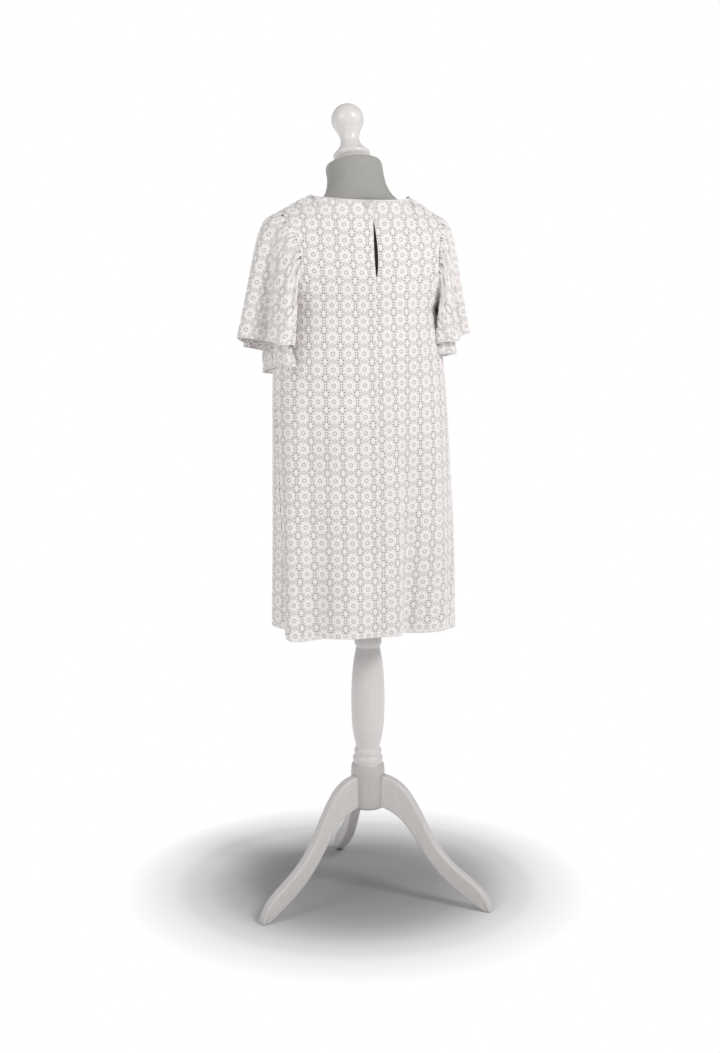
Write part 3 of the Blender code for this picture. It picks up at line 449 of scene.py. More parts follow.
def slit_gape(z, side):
    """Half of the slit's opening at a height, on the wearer's left (+1) or right (-1)."""
    if not SLIT_LOW_Z < z < SLIT_HIGH_Z:
        return 0.0
    t = (z - SLIT_LOW_Z) / (SLIT_HIGH_Z - SLIT_LOW_Z)
    gape = SLIT_LEFT_GAPE if side > 0 else SLIT_RIGHT_GAPE
    return gape * math.sin(math.pi * t ** 0.75) ** 0.8


def middle_shift(z):
    """How far both sides of the skirt hang over to the wearer's left, at a height."""
    rows = [Vector((row.back_z, row.middle_x, 0)) for row in SKIRT]
    if z >= rows[-1].x:
        return 0.0
    for low, high in zip(rows, rows[1:]):
        if z < high.x:
            break
    return low.y + (high.y - low.y) * (z - low.x) / (high.x - low.x)


def sleeve_hem_point(sleeve, layer, angle):
    """A point of a layer at the outer hem's level, without flutes; x is from the middle plane."""
    a = math.radians(angle)
    half_x = (sleeve.outer_x - SLEEVE_INNER_X) / 2
    back_y = sleeve.back_y - layer.back
    front_y = sleeve.front_y + layer.front
    y = (back_y + front_y) / 2 + (back_y - front_y) / 2 * math.sin(a)
    from_middle = (2 * y - sleeve.back_y - sleeve.front_y) / (sleeve.back_y - sleeve.front_y)
    x = SLEEVE_INNER_X + half_x * (1 - math.cos(a)) - SLEEVE_BEND * from_middle ** 2
    x += layer.inner * (1 - math.sin(a / 2) ** 4)
    if layer.name == "under":
        x -= sleeve.under_outer * math.sin(a / 2) ** 4 * (1 - UNDER_SLANT * math.sin(a))
    z = SLEEVE_HEM_Z - SLEEVE_HEM_TILT * math.cos(a) + SLEEVE_BACK_RISE * math.sin(a)
    return Vector((x, y, z))


def sleeve_point(sleeve, layer, angle, share):
    """A point of a layer's plain tube: share 0 is at the armhole and 1 at the outer hem's level."""
    a = math.radians(angle)
    seam = armhole_point(angle)
    to_middle = Vector((0, ARMHOLE_Y - seam.y, ARMHOLE_Z - seam.z)).normalized()
    end = sleeve_hem_point(sleeve, layer, angle)
    top = math.sin(a / 2) ** 2
    out = SLEEVE_START + layer.start_out * (1 - top)
    start = seam + Vector((out, 0, 0)) + to_middle * layer.start_inset
    drop = start.z - end.z
    way = Vector((1, LEAVE_TURN * math.sin(a) * (1 - top), 0)).normalized()
    leave = start + way * (LEAVE_OUT[0] + LEAVE_OUT[1] * top ** 1.5)
    leave -= Vector((0, 0, LEAVE_DOWN[0] * (1 - top) + LEAVE_DOWN[1] * top))
    hang = end + Vector((-HANG_IN * top, -HANG_ROUND * end.y,
                         (HANG_UP[0] + HANG_UP[1] * top) * drop))
    if layer.name == "under":
        hang.x += UNDER_HANG * sleeve.under_outer * top
    t = min(share, 1)
    point = (start * (1 - t) ** 3 + leave * (3 * (1 - t) ** 2 * t)
             + hang * (3 * (1 - t) * t * t) + end * t ** 3)
    if share > 1:
        point += (end - hang).normalized() * (share - 1) * drop * UNDER_REACH
    return point


def flute_depth(angle, share):
    wave = sum(flute.depth * bump(angle, flute.angle, flute.width)
               for flute in FLUTES + NARROW_FLUTES)
    return wave * min(share, 1.1) ** FLUTE_GROWTH


def nape_place():
    """Where the button sits on the left back panel, and its turn: it faces out of the cloth."""
    near = fine_column(True, 1, 0)
    far = fine_column(True, 1, 1 / 9)
    top, below = near[-1], near[-1 - FINE]
    along = (top - below).normalized()
    across = (far[-1] - top).normalized()
    normal = across.cross(along)
    if normal.y < 0:
        normal = -normal
    across = along.cross(normal).normalized()
    if across.x < 0:
        across = -across
    place = top + across * BUTTON_FROM_SEAM - along * BUTTON_BELOW_NECK
    place += normal * (BUTTON_LIFT + BUTTON_HEIGHT / 2)
    return place, across, along, normal


def form_ring(ring):
    """The points of one ring, anticlockwise seen from above."""
    points = []
    for c in range(FORM_COLUMNS):
        a = 2 * math.pi * c / FORM_COLUMNS
        if math.sin(a) > 0:
            y = ring.side_y + (ring.back_y - ring.side_y) * abs(math.sin(a)) ** ring.back_power
        else:
            y = ring.side_y + (ring.front_y - ring.side_y) * abs(math.sin(a)) ** ring.front_power
        z = ring.z + math.tan(math.radians(ring.tilt)) * (y - ring.side_y)
        points.append(Vector((BODY_X + ring.half_width * math.cos(a), y, z)))
    return points


def bead_profile(bead):
    """A rounded ring: half an ellipse from its top groove to its bottom groove."""
    profile = []
    for k in range(1, 6):
        a = math.radians(90 - 30 * k)
        profile.append((bead.z + bead.half_height * math.sin(a),
                        bead.radius - BEAD_GROOVE * (1 - math.cos(a))))
    return profile


# ---------------------------------------------------------------- fine grids of the cloth

def fine_column(back, side, share):
    """One column of a panel, from the hem to the top, on the fine grid."""
    skirt = [skirt_point(back, row, share) for row in SKIRT]
    rows = yoke_rows(back)
    yoke = [yoke_point(back, row, share) for row in rows]
    step = 2 * FINE
    top = top_point(back, share)
    steps = [row.steps * FINE * 2 for row in SKIRT[:-1]]
    low = smooth_path(skirt + [yoke[FINE]], steps + [1])[:-1]
    high = [yoke[-1 - FINE], yoke[-1], top]
    if share > NECK_SHARE:
        high.append(yoke_point(not back, yoke_rows(not back)[-1], share))
    path = low + yoke[1:-1] + smooth_path(high, [1, step] + [1] * (len(high) - 3))[1:]
    if share > NECK_SHARE:
        path.pop()
    for k in range(1, step):
        angle = 150 + 30 * k / step
        between = armhole_point(angle if back else 360 - angle)
        path[-1 - step + k] += (between - path[-1 - step + k]) * share ** 12
    hem_z = skirt[0].z
    angle = 90 * share if back else 180 - 90 * share
    out = Vector((math.sin(math.radians(angle)), math.cos(math.radians(angle)), 0))
    column = []
    for point in path:
        point = point + out * fold_offset(side * angle, point.z, hem_z)
        point.z -= hem_dip(side * angle, point.z, hem_z)
        if back:
            point.x += slit_gape(point.z, side) * (1 - share) ** 4
        point.x = BODY_X + side * point.x + middle_shift(point.z) * share
        column.append(point + AXIS)
    return column


def panel_grid(back, sides):
    columns = []
    shares = [i / FINE_COLUMNS for i in range(FINE_COLUMNS + 1)]
    for side in sides:
        half = [fine_column(back, side, share) for share in shares]
        if side < 0 and len(sides) == 2:
            columns = list(reversed(half))[:-1]
        else:
            columns += half
    return np.array([[column[r] for column in columns] for r in range(len(columns[0]))])


def grid_normals(grid, wrap, flip):
    """The unit normal at each point of a grid, on the cloth's outer side."""
    if wrap:
        grid = np.concatenate([grid[:, -1:], grid, grid[:, :1]], axis=1)
    across = np.gradient(grid, axis=1)
    along = np.gradient(grid, axis=0)
    normal = np.cross(across, along) * (-1 if flip else 1)
    normal /= np.linalg.norm(normal, axis=2, keepdims=True) + 1e-12
    return normal[:, 1:-1] if wrap else normal


def sleeve_grid(sleeve, layer):
    angles = [360 * c / SLEEVE_COLUMNS for c in range(SLEEVE_COLUMNS)]
    shares = [r / SLEEVE_ROWS for r in range(SLEEVE_ROWS + 1)]
    if layer.name == "under":
        low = sleeve.under_rows[1]
        extra = max(2, round((low - 1) * SLEEVE_ROWS))
        shares += [1 + (low - 1) * k / extra for k in range(1, extra + 1)]
    rows = []
    for share in shares:
        row = [sleeve_point(sleeve, layer, angle, share) for angle in angles]
        rows.append([(BODY_X + sleeve.side * p.x, p.y, p.z) for p in row])
    grid = np.array(rows)
    flip = sleeve.side < 0
    depth = np.array([[flute_depth(angle, share) for angle in angles] for share in shares])
    grid += grid_normals(grid, True, flip) * depth[..., None] * layer.wave
    for row, share in zip(grid, shares):
        low = max(min(share, 1.0) - SLEEVE_LOW, 0.0) / (1 - SLEEVE_LOW)
        below = max(share - 1, 0)
        for c, angle in enumerate(angles):
            if layer.name == "outer":
                row[c, 2] -= low ** 2 * sum(dip.drop * bump(angle, dip.angle, dip.width)
                                            for dip in SLEEVE_DIPS)
            else:
                shift = UNDER_SHIFT[sleeve.name] * (1 + 4 * below)
                row[c, 0] -= sleeve.side * low ** 2 * shift * bump(angle, *UNDER_SHIFT_AT)
                row[c, 0] -= sleeve.side * below * UNDER_KICK * bump(angle, *UNDER_KICK_AT)
            row[c, 0] -= sleeve.side * low * INNER_SHIFT[sleeve.name] * bump(angle, *INNER_SHIFT_AT)
    return grid + np.array(AXIS)


# ---------------------------------------------------------------- mesh helpers

def add_object(name, data):
    obj = bpy.data.objects.new(name, data)
    bpy.context.scene.collection.objects.link(obj)
    return obj


def add_piece(name, points, faces, material, smooth=True):
    mesh = bpy.data.meshes.new(name)
    mesh.from_pydata([tuple(p) for p in points], [], [tuple(f) for f in faces])
    mesh.update()
    if smooth:
        mesh.shade_smooth()
    mesh.materials.append(material)
    obj = add_object(name, mesh)
    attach(obj, "root")
    return obj


def grid_faces(rows, columns, wrap=False, flip=False):
    faces = []
    for r in range(rows - 1):
        for c in range(columns if wrap else columns - 1):
            d = (c + 1) % columns
            quad = (r * columns + c, r * columns + d, (r + 1) * columns + d, (r + 1) * columns + c)
            faces.append(tuple(reversed(quad)) if flip else quad)
    return faces


def add_turned(name, profile, material, matrix, steps=96, smooth=True):
    """A turned piece, from (height, radius) pairs that run from the top down."""
    points = []
    for height, radius in profile:
        for k in range(steps):
            a = 2 * math.pi * k / steps
            points.append(matrix @ Vector((radius * math.cos(a), radius * math.sin(a), height)))
    faces = grid_faces(len(profile), steps, wrap=True, flip=True)
    top = len(points)
    points.append(matrix @ Vector((0, 0, profile[0][0])))
    points.append(matrix @ Vector((0, 0, profile[-1][0])))
    last = (len(profile) - 1) * steps
    faces += [(k, (k + 1) % steps, top) for k in range(steps)]
    faces += [(last + (k + 1) % steps, last + k, top + 1) for k in range(steps)]
    return add_piece(name, points, faces, material, smooth)


def add_tube(name, path, radius, material, closed=False):
    """A round strand along a line of points."""
    points, faces = [], []
    path = [Vector(p) for p in path]
    count = len(path)
    side = Vector((0.31, 0.52, 0.79))
    for i, p in enumerate(path):
        if closed:
            ahead = path[(i + 1) % count] - path[i - 1]
        else:
            ahead = path[min(i + 1, count - 1)] - path[max(i - 1, 0)]
        ahead.normalize()
        side = (side - ahead * side.dot(ahead)).normalized()
        other = ahead.cross(side)
        for k in range(TUBE_SIDES):
            a = 2 * math.pi * k / TUBE_SIDES
            points.append(p + (side * math.cos(a) + other * math.sin(a)) * radius)
    for i in range(count if closed else count - 1):
        here, ahead = i * TUBE_SIDES, (i + 1) % count * TUBE_SIDES
        for k in range(TUBE_SIDES):
            m = (k + 1) % TUBE_SIDES
            faces.append((here + k, here + m, ahead + m, ahead + k))
    if not closed:
        faces.append(tuple(reversed(range(TUBE_SIDES))))
        faces.append(tuple(range(len(points) - TUBE_SIDES, len(points))))
    return add_piece(name, points, faces, material)


# ---------------------------------------------------------------- the lace's repeat

PITCH = 30.1               # of the repeat, in mm: one flower, one bud and the net between them
FLOWER_LOBES = 8
LOBE_AWAY, LOBE_RADIUS, LOBE_HEIGHT = 9.2, 3.75, 1.35
DISC_RADIUS, DISC_HEIGHT = 8.8, 0.95
GROOVE_OUT, GROOVE_IN, GROOVE_DEPTH = 4.2, 2.9, -0.25   # the sunk ring round the flower's middle
BUD_HALF_WIDTH, BUD_HALF_HEIGHT, BUD_HEIGHT = 3.6, 5.9, 0.85
DISC_SLOPE = 1.4           # width of the disc's sloping edge
RING = 7.2                 # of points in the disc
LIP = 0.45                 # between the sunk ring and the points on both sides of it
LOBE_RING = 2.5            # of points in each lobe
EYE_EDGE, EYE_RISE = 0.45, 0.35    # height of the flower's middle at its edge, and its rise
RIM_END, RIM_DEPTH = 13.2, -0.06   # the net just round the flower
# The nick between two lobes: its root, and its height there and further out.
NOTCH_ROOT, NOTCH_HEIGHT, NOTCH_DEPTH = 8.3, 0.12, -0.28
BUD_HOLES = 8
HOLES_AWAY_X, HOLES_AWAY_Y, HOLE_RADIUS = 5.5, 7.8, 1.25   # round each bud
DOT_X, DOT_Y, DOT_RADIUS = 2.2, 2.6, 1.0   # four between two buds of a column
SPOT_X, SPOT_RADIUS = 3.6, 0.85    # two between two flowers of a column
LEFT_START = 27.5          # from the back seam to the middle of the left panel's first flower
RIGHT_START = 20.0
LEFT_ROW, RIGHT_ROW = 4.0, 6.5   # from the underarm's level up to the middle of a flower
# Search for a point's place on the cloth: its turns, those that take whole steps, the share of a
# step that the later ones take, the part of a cell over which slopes are measured, and how many mm
# a point may still be off.
PLACE_TURNS, WHOLE_TURNS, LATER_SHARE, PLACE_SLOPE, PLACE_LIMIT = 24, 8, 0.55, 0.25, 2.5
LINING_DEPTH = 0.0016
FACING_DEPTH = 0.034       # of the light band of lining below the neckline


def polygon(x, y, radius_x, radius_y, count, turn=0.0):
    return [(x + radius_x * math.cos(turn + 2 * math.pi * k / count),
             y + radius_y * math.sin(turn + 2 * math.pi * k / count)) for k in range(count)]


def lace_holes():
    """The holes of one repeat, as polygons about the flower's middle; some cross its border."""
    half = PITCH / 2
    holes = []
    for cx in (-half, half):
        for cy in (-half, half):
            for k in range(BUD_HOLES):
                a = 2 * math.pi * (k + 0.5) / BUD_HOLES
                x, y = cx + HOLES_AWAY_X * math.cos(a), cy + HOLES_AWAY_Y * math.sin(a)
                holes.append(polygon(x, y, HOLE_RADIUS, HOLE_RADIUS, 5, a))
    for side in (-half, half):
        for y in (-DOT_Y, DOT_Y):
            for aside in (-DOT_X, DOT_X):
                holes.append(polygon(side + aside, y, DOT_RADIUS, DOT_RADIUS, 4))
        for x in (-SPOT_X, SPOT_X):
            holes.append(polygon(x, side, SPOT_RADIUS, SPOT_RADIUS, 4))
    return holes


def inside(point, ring):
    x, y = point
    odd = False
    for (x0, y0), (x1, y1) in zip(ring, ring[1:] + ring[:1]):
        if (y0 > y) != (y1 > y) and x < x0 + (y - y0) * (x1 - x0) / (y1 - y0):
            odd = not odd
    return odd


def lace_height(x, y):
    """How far the lace stands out of its net at a point, in mm."""
    half = PITCH / 2
    r = math.hypot(x, y)
    bud = ((abs(x) - half) / BUD_HALF_WIDTH) ** 2 + ((abs(y) - half) / BUD_HALF_HEIGHT) ** 2
    if bud < 1:
        return BUD_HEIGHT * math.sqrt(1 - bud)
    if r < GROOVE_IN - 0.1:
        return EYE_EDGE + EYE_RISE * (1 - r / GROOVE_IN)
    if r < GROOVE_OUT + 0.1:
        return GROOVE_DEPTH
    step = 2 * math.pi / FLOWER_LOBES
    a = (math.atan2(y, x) % step) - step / 2
    away = math.hypot(r * math.cos(a) - LOBE_AWAY, r * math.sin(a))
    lobe = LOBE_HEIGHT * math.sqrt(max(1 - (away / LOBE_RADIUS) ** 2, 0.0))
    disc = DISC_HEIGHT * min(max((DISC_RADIUS - r) / DISC_SLOPE, 0.0), 1.0)
    if abs(a) > 0.49 * step and NOTCH_ROOT - 0.2 < r < NOTCH_ROOT + 2.1:
        return NOTCH_HEIGHT if r < NOTCH_ROOT + 0.7 else NOTCH_DEPTH
    if lobe < 0.05 and disc == 0 and r < RIM_END:
        return RIM_DEPTH
    return max(lobe, disc)


def clipped_loop(ring, half):
    """The part of a ring that lies in the repeat's square."""
    loop = []
    for (x0, y0), (x1, y1) in zip(ring, ring[1:] + ring[:1]):
        if abs(x0) <= half and abs(y0) <= half:
            loop.append((x0, y0))
        cuts = []
        for a0, a1, axis in ((x0, x1, 0), (y0, y1, 1)):
            for limit in (-half, half):
                if (a0 - limit) * (a1 - limit) < -1e-12:
                    t = (limit - a0) / (a1 - a0)
                    p = (x0 + (x1 - x0) * t, y0 + (y1 - y0) * t)
                    p = (limit, p[1]) if axis == 0 else (p[0], limit)
                    if abs(p[0]) <= half + 1e-9 and abs(p[1]) <= half + 1e-9:
                        cuts.append((t, p))
        loop += [p for _, p in sorted(cuts)]
    return loop


def lace_cell():
    """One repeat as a mesh: points in mm, heights, and triangles."""
    half = PITCH / 2
    points, edges = [], []

    def add_loop(loop):
        start, count = len(points), len(loop)
        points.extend(loop)
        edges.extend((start + k, start + (k + 1) % count) for k in range(count))

    holes = lace_holes()
    for ring in holes:
        loop = clipped_loop(ring, half)
        if len(loop) >= 2:
            add_loop(loop)
    step = 2 * math.pi / FLOWER_LOBES
    notch = LOBE_AWAY * math.cos(step / 2)
    notch += math.sqrt(LOBE_RADIUS ** 2 - (LOBE_AWAY * math.sin(step / 2)) ** 2)
    outline = []
    for k in range(FLOWER_LOBES):
        outline.append((notch * math.cos(step * k), notch * math.sin(step * k)))
        a = step * (k + 0.5)
        middle = (LOBE_AWAY * math.cos(a), LOBE_AWAY * math.sin(a))
        for turn in (-62, -22, 22, 62):
            b = a + math.radians(turn)
            outline.append((middle[0] + LOBE_RADIUS * math.cos(b),
                            middle[1] + LOBE_RADIUS * math.sin(b)))
        points.append(middle)
        points.extend(polygon(*middle, LOBE_RING, LOBE_RING, 4, a + math.pi / 4))
        points.append((NOTCH_ROOT * math.cos(step * k), NOTCH_ROOT * math.sin(step * k)))
    add_loop(outline)
    for radius, count in ((RING, 8), (GROOVE_OUT + LIP, 12), (GROOVE_OUT, 12), (GROOVE_IN, 12),
                          (GROOVE_IN - LIP, 8)):
        add_loop(polygon(0, 0, radius, radius, count))
    points.append((0.0, 0.0))
    for cx in (-half, half):
        for cy in (-half, half):
            for share, count in ((1.0, 12), (0.6, 8)):
                loop = polygon(cx, cy, BUD_HALF_WIDTH * share, BUD_HALF_HEIGHT * share, count)
                points.extend(p for p in loop
                              if abs(p[0]) <= half + 1e-9 and abs(p[1]) <= half + 1e-9)
    add_loop([(-half, -half), (half, -half), (half, half), (-half, half)])
    result = delaunay_2d_cdt([Vector(p) for p in points], edges, [], 0, 0.02)
    coords = [(p.x, p.y) for p in result[0]]
    kept = []
    for tri in (tuple(face) for face in result[2]):
        middle = (sum(coords[i][0] for i in tri) / 3, sum(coords[i][1] for i in tri) / 3)
        if not any(inside(middle, ring) for ring in holes):
            kept.append(tri)
    height = np.array([lace_height(x, y) for x, y in coords])
    return np.array(coords), height, np.array(kept)


# ---------------------------------------------------------------- the lace over the cloth

CELL = lace_cell()


def at(table, row, column):
    """A table of the grid read between its points, and past its edges along the last cell."""
    rows, columns = table.shape[:2]
    r = np.clip(np.floor(row).astype(int), 0, rows - 2)
    c = np.clip(np.floor(column).astype(int), 0, columns - 2)
    fr, fc = row - r, column - c
    if table.ndim == 3:
        fr, fc = fr[:, None], fc[:, None]
    return (table[r, c] * (1 - fr) * (1 - fc) + table[r, c + 1] * (1 - fr) * fc
            + table[r + 1, c] * fr * (1 - fc) + table[r + 1, c + 1] * fr * fc)


def cloth_lengths(grid, middle, level):
    """Lengths along the cloth in mm: across from the middle column, and up from the level row."""
    across = np.zeros(grid.shape[:2])
    across[:, 1:] = np.cumsum(np.linalg.norm(np.diff(grid, axis=1), axis=2), axis=1)
    across -= across[:, middle:middle + 1]
    row_way = np.gradient(grid, axis=1)
    row_way = row_way[1:] + row_way[:-1]
    row_way /= np.linalg.norm(row_way, axis=2, keepdims=True) + 1e-12
    rise = np.diff(grid, axis=0)
    rise = rise - row_way * (rise * row_way).sum(axis=2, keepdims=True)
    up = np.zeros(grid.shape[:2])
    up[1:] = np.cumsum(np.linalg.norm(rise, axis=2), axis=0)
    up -= up[level:level + 1]
    return across * 1000, up * 1000


def shoulder_lengths(grid, across, up, first):
    """Above a row, lengths run straight up from it and over the shoulder, at the same x."""
    base = grid[first]
    order = np.argsort(base[:, 0])
    x = base[order, 0]
    tables = [table[order] for table in (across[first], up[first], base[:, 1], base[:, 2])]
    way = 1000 if tables[0][-1] > tables[0][0] else -1000
    for r in range(first + 1, len(grid)):
        here = grid[r, :, 0]
        a, b, y, z = (np.interp(here, x, table) for table in tables)
        beyond = np.maximum(here - x[-1], 0) + np.minimum(here - x[0], 0)
        across[r] = a + beyond * way
        up[r] = b + 1000 * np.hypot(grid[r, :, 1] - y, grid[r, :, 2] - z)


def find_place(across, up, x, y):
    """Row and column of the grid at which the cloth's lengths are x and y."""
    rows, columns = across.shape
    tree = KDTree(across.size)
    for k, pair in enumerate(zip(across.ravel(), up.ravel())):
        tree.insert((*pair, 0.0), k)
    tree.balance()
    near = np.array([tree.find((a, b, 0.0))[1] for a, b in zip(x, y)])
    row, column = (near // columns).astype(float), (near % columns).astype(float)
    best_row, best_column, least = row.copy(), column.copy(), np.full(len(row), 1e9)
    for turn in range(PLACE_TURNS):
        share = 1.0 if turn < WHOLE_TURNS else LATER_SHARE
        r = np.clip(row, -2, rows + 1)
        c = np.clip(column, -2, columns + 1)
        a, b = at(across, r, c), at(up, r, c)
        miss = np.hypot(x - a, y - b)
        better = miss < least
        best_row[better], best_column[better], least[better] = r[better], c[better], miss[better]
        d = PLACE_SLOPE
        ar, ac = (at(across, r + d, c) - a) / d, (at(across, r, c + d) - a) / d
        br, bc = (at(up, r + d, c) - b) / d, (at(up, r, c + d) - b) / d
        det = ar * bc - ac * br
        det = np.where(np.abs(det) < 1e-6, 1e-6, det)
        ea, eb = x - a, y - b
        row = r + share * np.clip((ea * bc - ac * eb) / det, -3, 3)
        column = c + share * np.clip((ar * eb - ea * br) / det, -3, 3)
    return best_row, best_column


def clip_cells(values, triangles, axis, limit, keep_above):
    """Cut a mesh along values[:, axis] == limit and keep one side. Every column is interpolated."""
    side = values[:, axis] - limit
    if not keep_above:
        side = -side
    inner = side >= -1e-9
    count = inner[triangles].sum(axis=1)
    kept = [tuple(t) for t in triangles[count == 3]]
    extra, made = [], {}

    def between(i, j):
        key = (min(i, j), max(i, j))
        if key not in made:
            i, j = key
            t = side[i] / (side[i] - side[j])
            point = values[i] * (1 - t) + values[j] * t
            point[axis] = limit
            made[key] = len(values) + len(extra)
            extra.append(point)
        return made[key]

    for tri in triangles[(count == 1) | (count == 2)]:
        while not (inner[tri[0]] and not inner[tri[2]]):
            tri = (tri[1], tri[2], tri[0])
        i, j, k = tri
        if inner[j]:
            jk, ki = between(j, k), between(k, i)
            kept += [(i, j, jk), (i, jk, ki)]
        else:
            kept.append((i, between(i, j), between(k, i)))
    if extra:
        values = np.vstack([values, np.array(extra)])
    return values, np.array(kept)


def lace_mesh(grid, normals, middle, level, start_x, start_y, shoulder):
    """The lace's repeat laid over a cloth grid, and cut off along the grid's edges."""
    across, up = cloth_lengths(grid, middle, level)
    if shoulder:
        shoulder_lengths(grid, across, up, len(grid) - 1 - 2 * FINE)
    cell, height, cell_faces = CELL
    first_i = math.floor((across.min() - start_x) / PITCH) - 1
    last_i = math.ceil((across.max() - start_x) / PITCH) + 1
    first_j = math.floor((up.min() - start_y) / PITCH) - 1
    last_j = math.ceil((up.max() - start_y) / PITCH) + 1
    centres = [(i, j) for j in range(first_j, last_j + 1) for i in range(first_i, last_i + 1)]
    count = len(cell)
    points = np.concatenate([cell + np.array((i * PITCH, j * PITCH)) for i, j in centres])
    faces = np.concatenate([cell_faces + k * count for k in range(len(centres))])
    heights = np.tile(height, len(centres))
    keys = np.round(points * 200).astype(np.int64)   # points that two repeats share get one key
    _, index, back = np.unique(keys[:, 0] * 10000019 + keys[:, 1], return_index=True,
                               return_inverse=True)
    points, heights, faces = points[index], heights[index], back.ravel()[faces]
    row, column = find_place(across, up, points[:, 0] + start_x, points[:, 1] + start_y)
    miss = np.hypot(at(across, row, column) - points[:, 0] - start_x,
                    at(up, row, column) - points[:, 1] - start_y)
    values = np.column_stack([row, column, heights])
    rows, columns = across.shape
    good = ((miss < PLACE_LIMIT) & (row > -1.9) & (row < rows + 0.9)
            & (column > -1.9) & (column < columns + 0.9))
    faces = faces[good[faces].all(axis=1)]
    for axis, last in ((0, rows - 1), (1, columns - 1)):
        values, faces = clip_cells(values, faces, axis, 0, True)
        values, faces = clip_cells(values, faces, axis, last, False)
    used, faces = np.unique(faces, return_inverse=True)
    faces = faces.reshape(-1, 3)
    values = values[used]
    place = at(grid, values[:, 0], values[:, 1])
    normal = at(normals, values[:, 0], values[:, 1])
    normal /= np.linalg.norm(normal, axis=1, keepdims=True)
    return place, normal, values[:, 2], faces


def add_lace(name, grid, wrap, flip, middle, level, start_x, start_y, material):
    normals = grid_normals(grid, wrap, flip)
    if wrap:
        grid = np.concatenate([grid, grid[:, :1]], axis=1)
        normals = np.concatenate([normals, normals[:, :1]], axis=1)
    place, normal, height, faces = lace_mesh(grid, normals, middle, level, start_x, start_y,
                                             not wrap)
    points = place + normal * (height[:, None] * MM)
    if flip:
        faces = faces[:, ::-1]
    mesh = bpy.data.meshes.new(name)
    mesh.vertices.add(len(points))
    mesh.vertices.foreach_set("co", points.astype(np.float32).ravel())
    mesh.loops.add(faces.size)
    mesh.loops.foreach_set("vertex_index", faces.astype(np.int32).ravel())
    mesh.polygons.add(len(faces))
    mesh.polygons.foreach_set("loop_start", np.arange(0, faces.size, 3, dtype=np.int32))
    mesh.update(calc_edges=True)
    mesh.validate()
    mesh.shade_smooth()
    relief = mesh.attributes.new("relief", "FLOAT", "POINT")
    relief.data.foreach_set("value", height.astype(np.float32))
    mesh.materials.append(material)
    obj = add_object(name, mesh)
    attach(obj, "root")
    return obj


# ---------------------------------------------------------------- materials

def shader_inputs(material):
    return material.node_tree.nodes["Principled BSDF"].inputs


def set_inputs(inputs, values):
    """Give the inputs their values, by the inputs' names in small letters with underscores."""
    for key, value in values.items():
        inputs[key.replace("_", " ").title()].default_value = value


def new_material(name, colour, roughness, **values):
    material = bpy.data.materials.new(name)
    material.use_nodes = True
    set_inputs(shader_inputs(material),
               {"base_color": (*colour, 1.0), "roughness": roughness, **values})
    return material


def add_node(material, kind, own=(), **values):
    """A new node, with properties of its own and with values for its inputs."""
    node = material.node_tree.nodes.new(kind)
    for key, value in dict(own).items():
        setattr(node, key, value)
    set_inputs(node.inputs, values)
    return node


def link(material, out, into):
    material.node_tree.links.new(out, into)


def texture(material, kind, own=(), stretch=None, **values):
    """A texture over the object's own coordinates, which a stretch may scale first."""
    node = add_node(material, kind, own, **values)
    place = add_node(material, "ShaderNodeTexCoord").outputs["Object"]
    if stretch:
        mapping = add_node(material, "ShaderNodeMapping", scale=stretch)
        link(material, place, mapping.inputs["Vector"])
        place = mapping.outputs["Vector"]
    link(material, place, node.inputs["Vector"])
    return node


def noise(material, scale, detail, **values):
    node = texture(material, "ShaderNodeTexNoise", scale=scale, detail=detail, **values)
    return node.outputs["Fac"]


def ramp(material, source, stops):
    node = add_node(material, "ShaderNodeValToRGB")
    while len(node.color_ramp.elements) < len(stops):
        node.color_ramp.elements.new(1.0)
    for element, (place, colour) in zip(node.color_ramp.elements, stops):
        element.position = place
        element.color = (*colour, 1.0)
    link(material, source, node.inputs["Fac"])
    return node.outputs["Color"]


def grey(value, warm=0.0):
    """A grey, or a warm one that is a little redder than it is blue."""
    return (value, value * (1 - 0.75 * warm), value * (1 - warm))


def paint(material, colour):
    link(material, colour, shader_inputs(material)["Base Color"])


def multiplied(material, one, other, share=None):
    """Two colours multiplied, in full or only as far as the share goes."""
    node = add_node(material, "ShaderNodeMix", {"data_type": "RGBA", "blend_type": "MULTIPLY"})
    node.inputs[0].default_value = 1.0
    if share:
        link(material, share, node.inputs[0])
    link(material, one, node.inputs[6])
    link(material, other, node.inputs[7])
    return node.outputs[2]


def add_bump(material, height, strength, distance):
    node = add_node(material, "ShaderNodeBump", strength=strength, distance=distance)
    link(material, height, node.inputs["Height"])
    link(material, node.outputs["Normal"], shader_inputs(material)["Normal"])


def lace_material():
    """White cotton with painted shade by relief: the net a little darker than the raised stitches, and
    deep places darker still.
    """
    material = new_material("lace", (0.8, 0.8, 0.8), 0.85, sheen_weight=0.15)
    relief = add_node(material, "ShaderNodeAttribute", {"attribute_name": "relief"}).outputs["Fac"]
    spread = add_node(material, "ShaderNodeMapRange", {"clamp": True},
                      from_min=RELIEF_LOW, from_max=RELIEF_HIGH)
    link(material, relief, spread.inputs["Value"])
    height = spread.outputs["Result"]
    # Painted shade: the lower the relief lies, the darker the lace.
    tone = ramp(material, height, [(place, grey(value, COTTON_WARM)) for place, value in LACE_DEPTH_SHADE])
    net = texture(material, "ShaderNodeTexVoronoi", {"feature": "DISTANCE_TO_EDGE"}, scale=620.0)
    speck = ramp(material, net.outputs["Distance"], ((0.0, grey(1.0)), (0.35, grey(0.95))))
    on_net = ramp(material, height, ((0.38, grey(1.0)), (0.5, grey(0.0))))
    cloudy = ramp(material, noise(material, 14.0, 4.0), ((0.3, grey(0.95)), (0.7, grey(1.0))))
    paint(material, multiplied(material, multiplied(material, tone, speck, on_net), cloudy))
    add_bump(material, noise(material, 900.0, 3.0), 0.35, 0.0004)
    return material


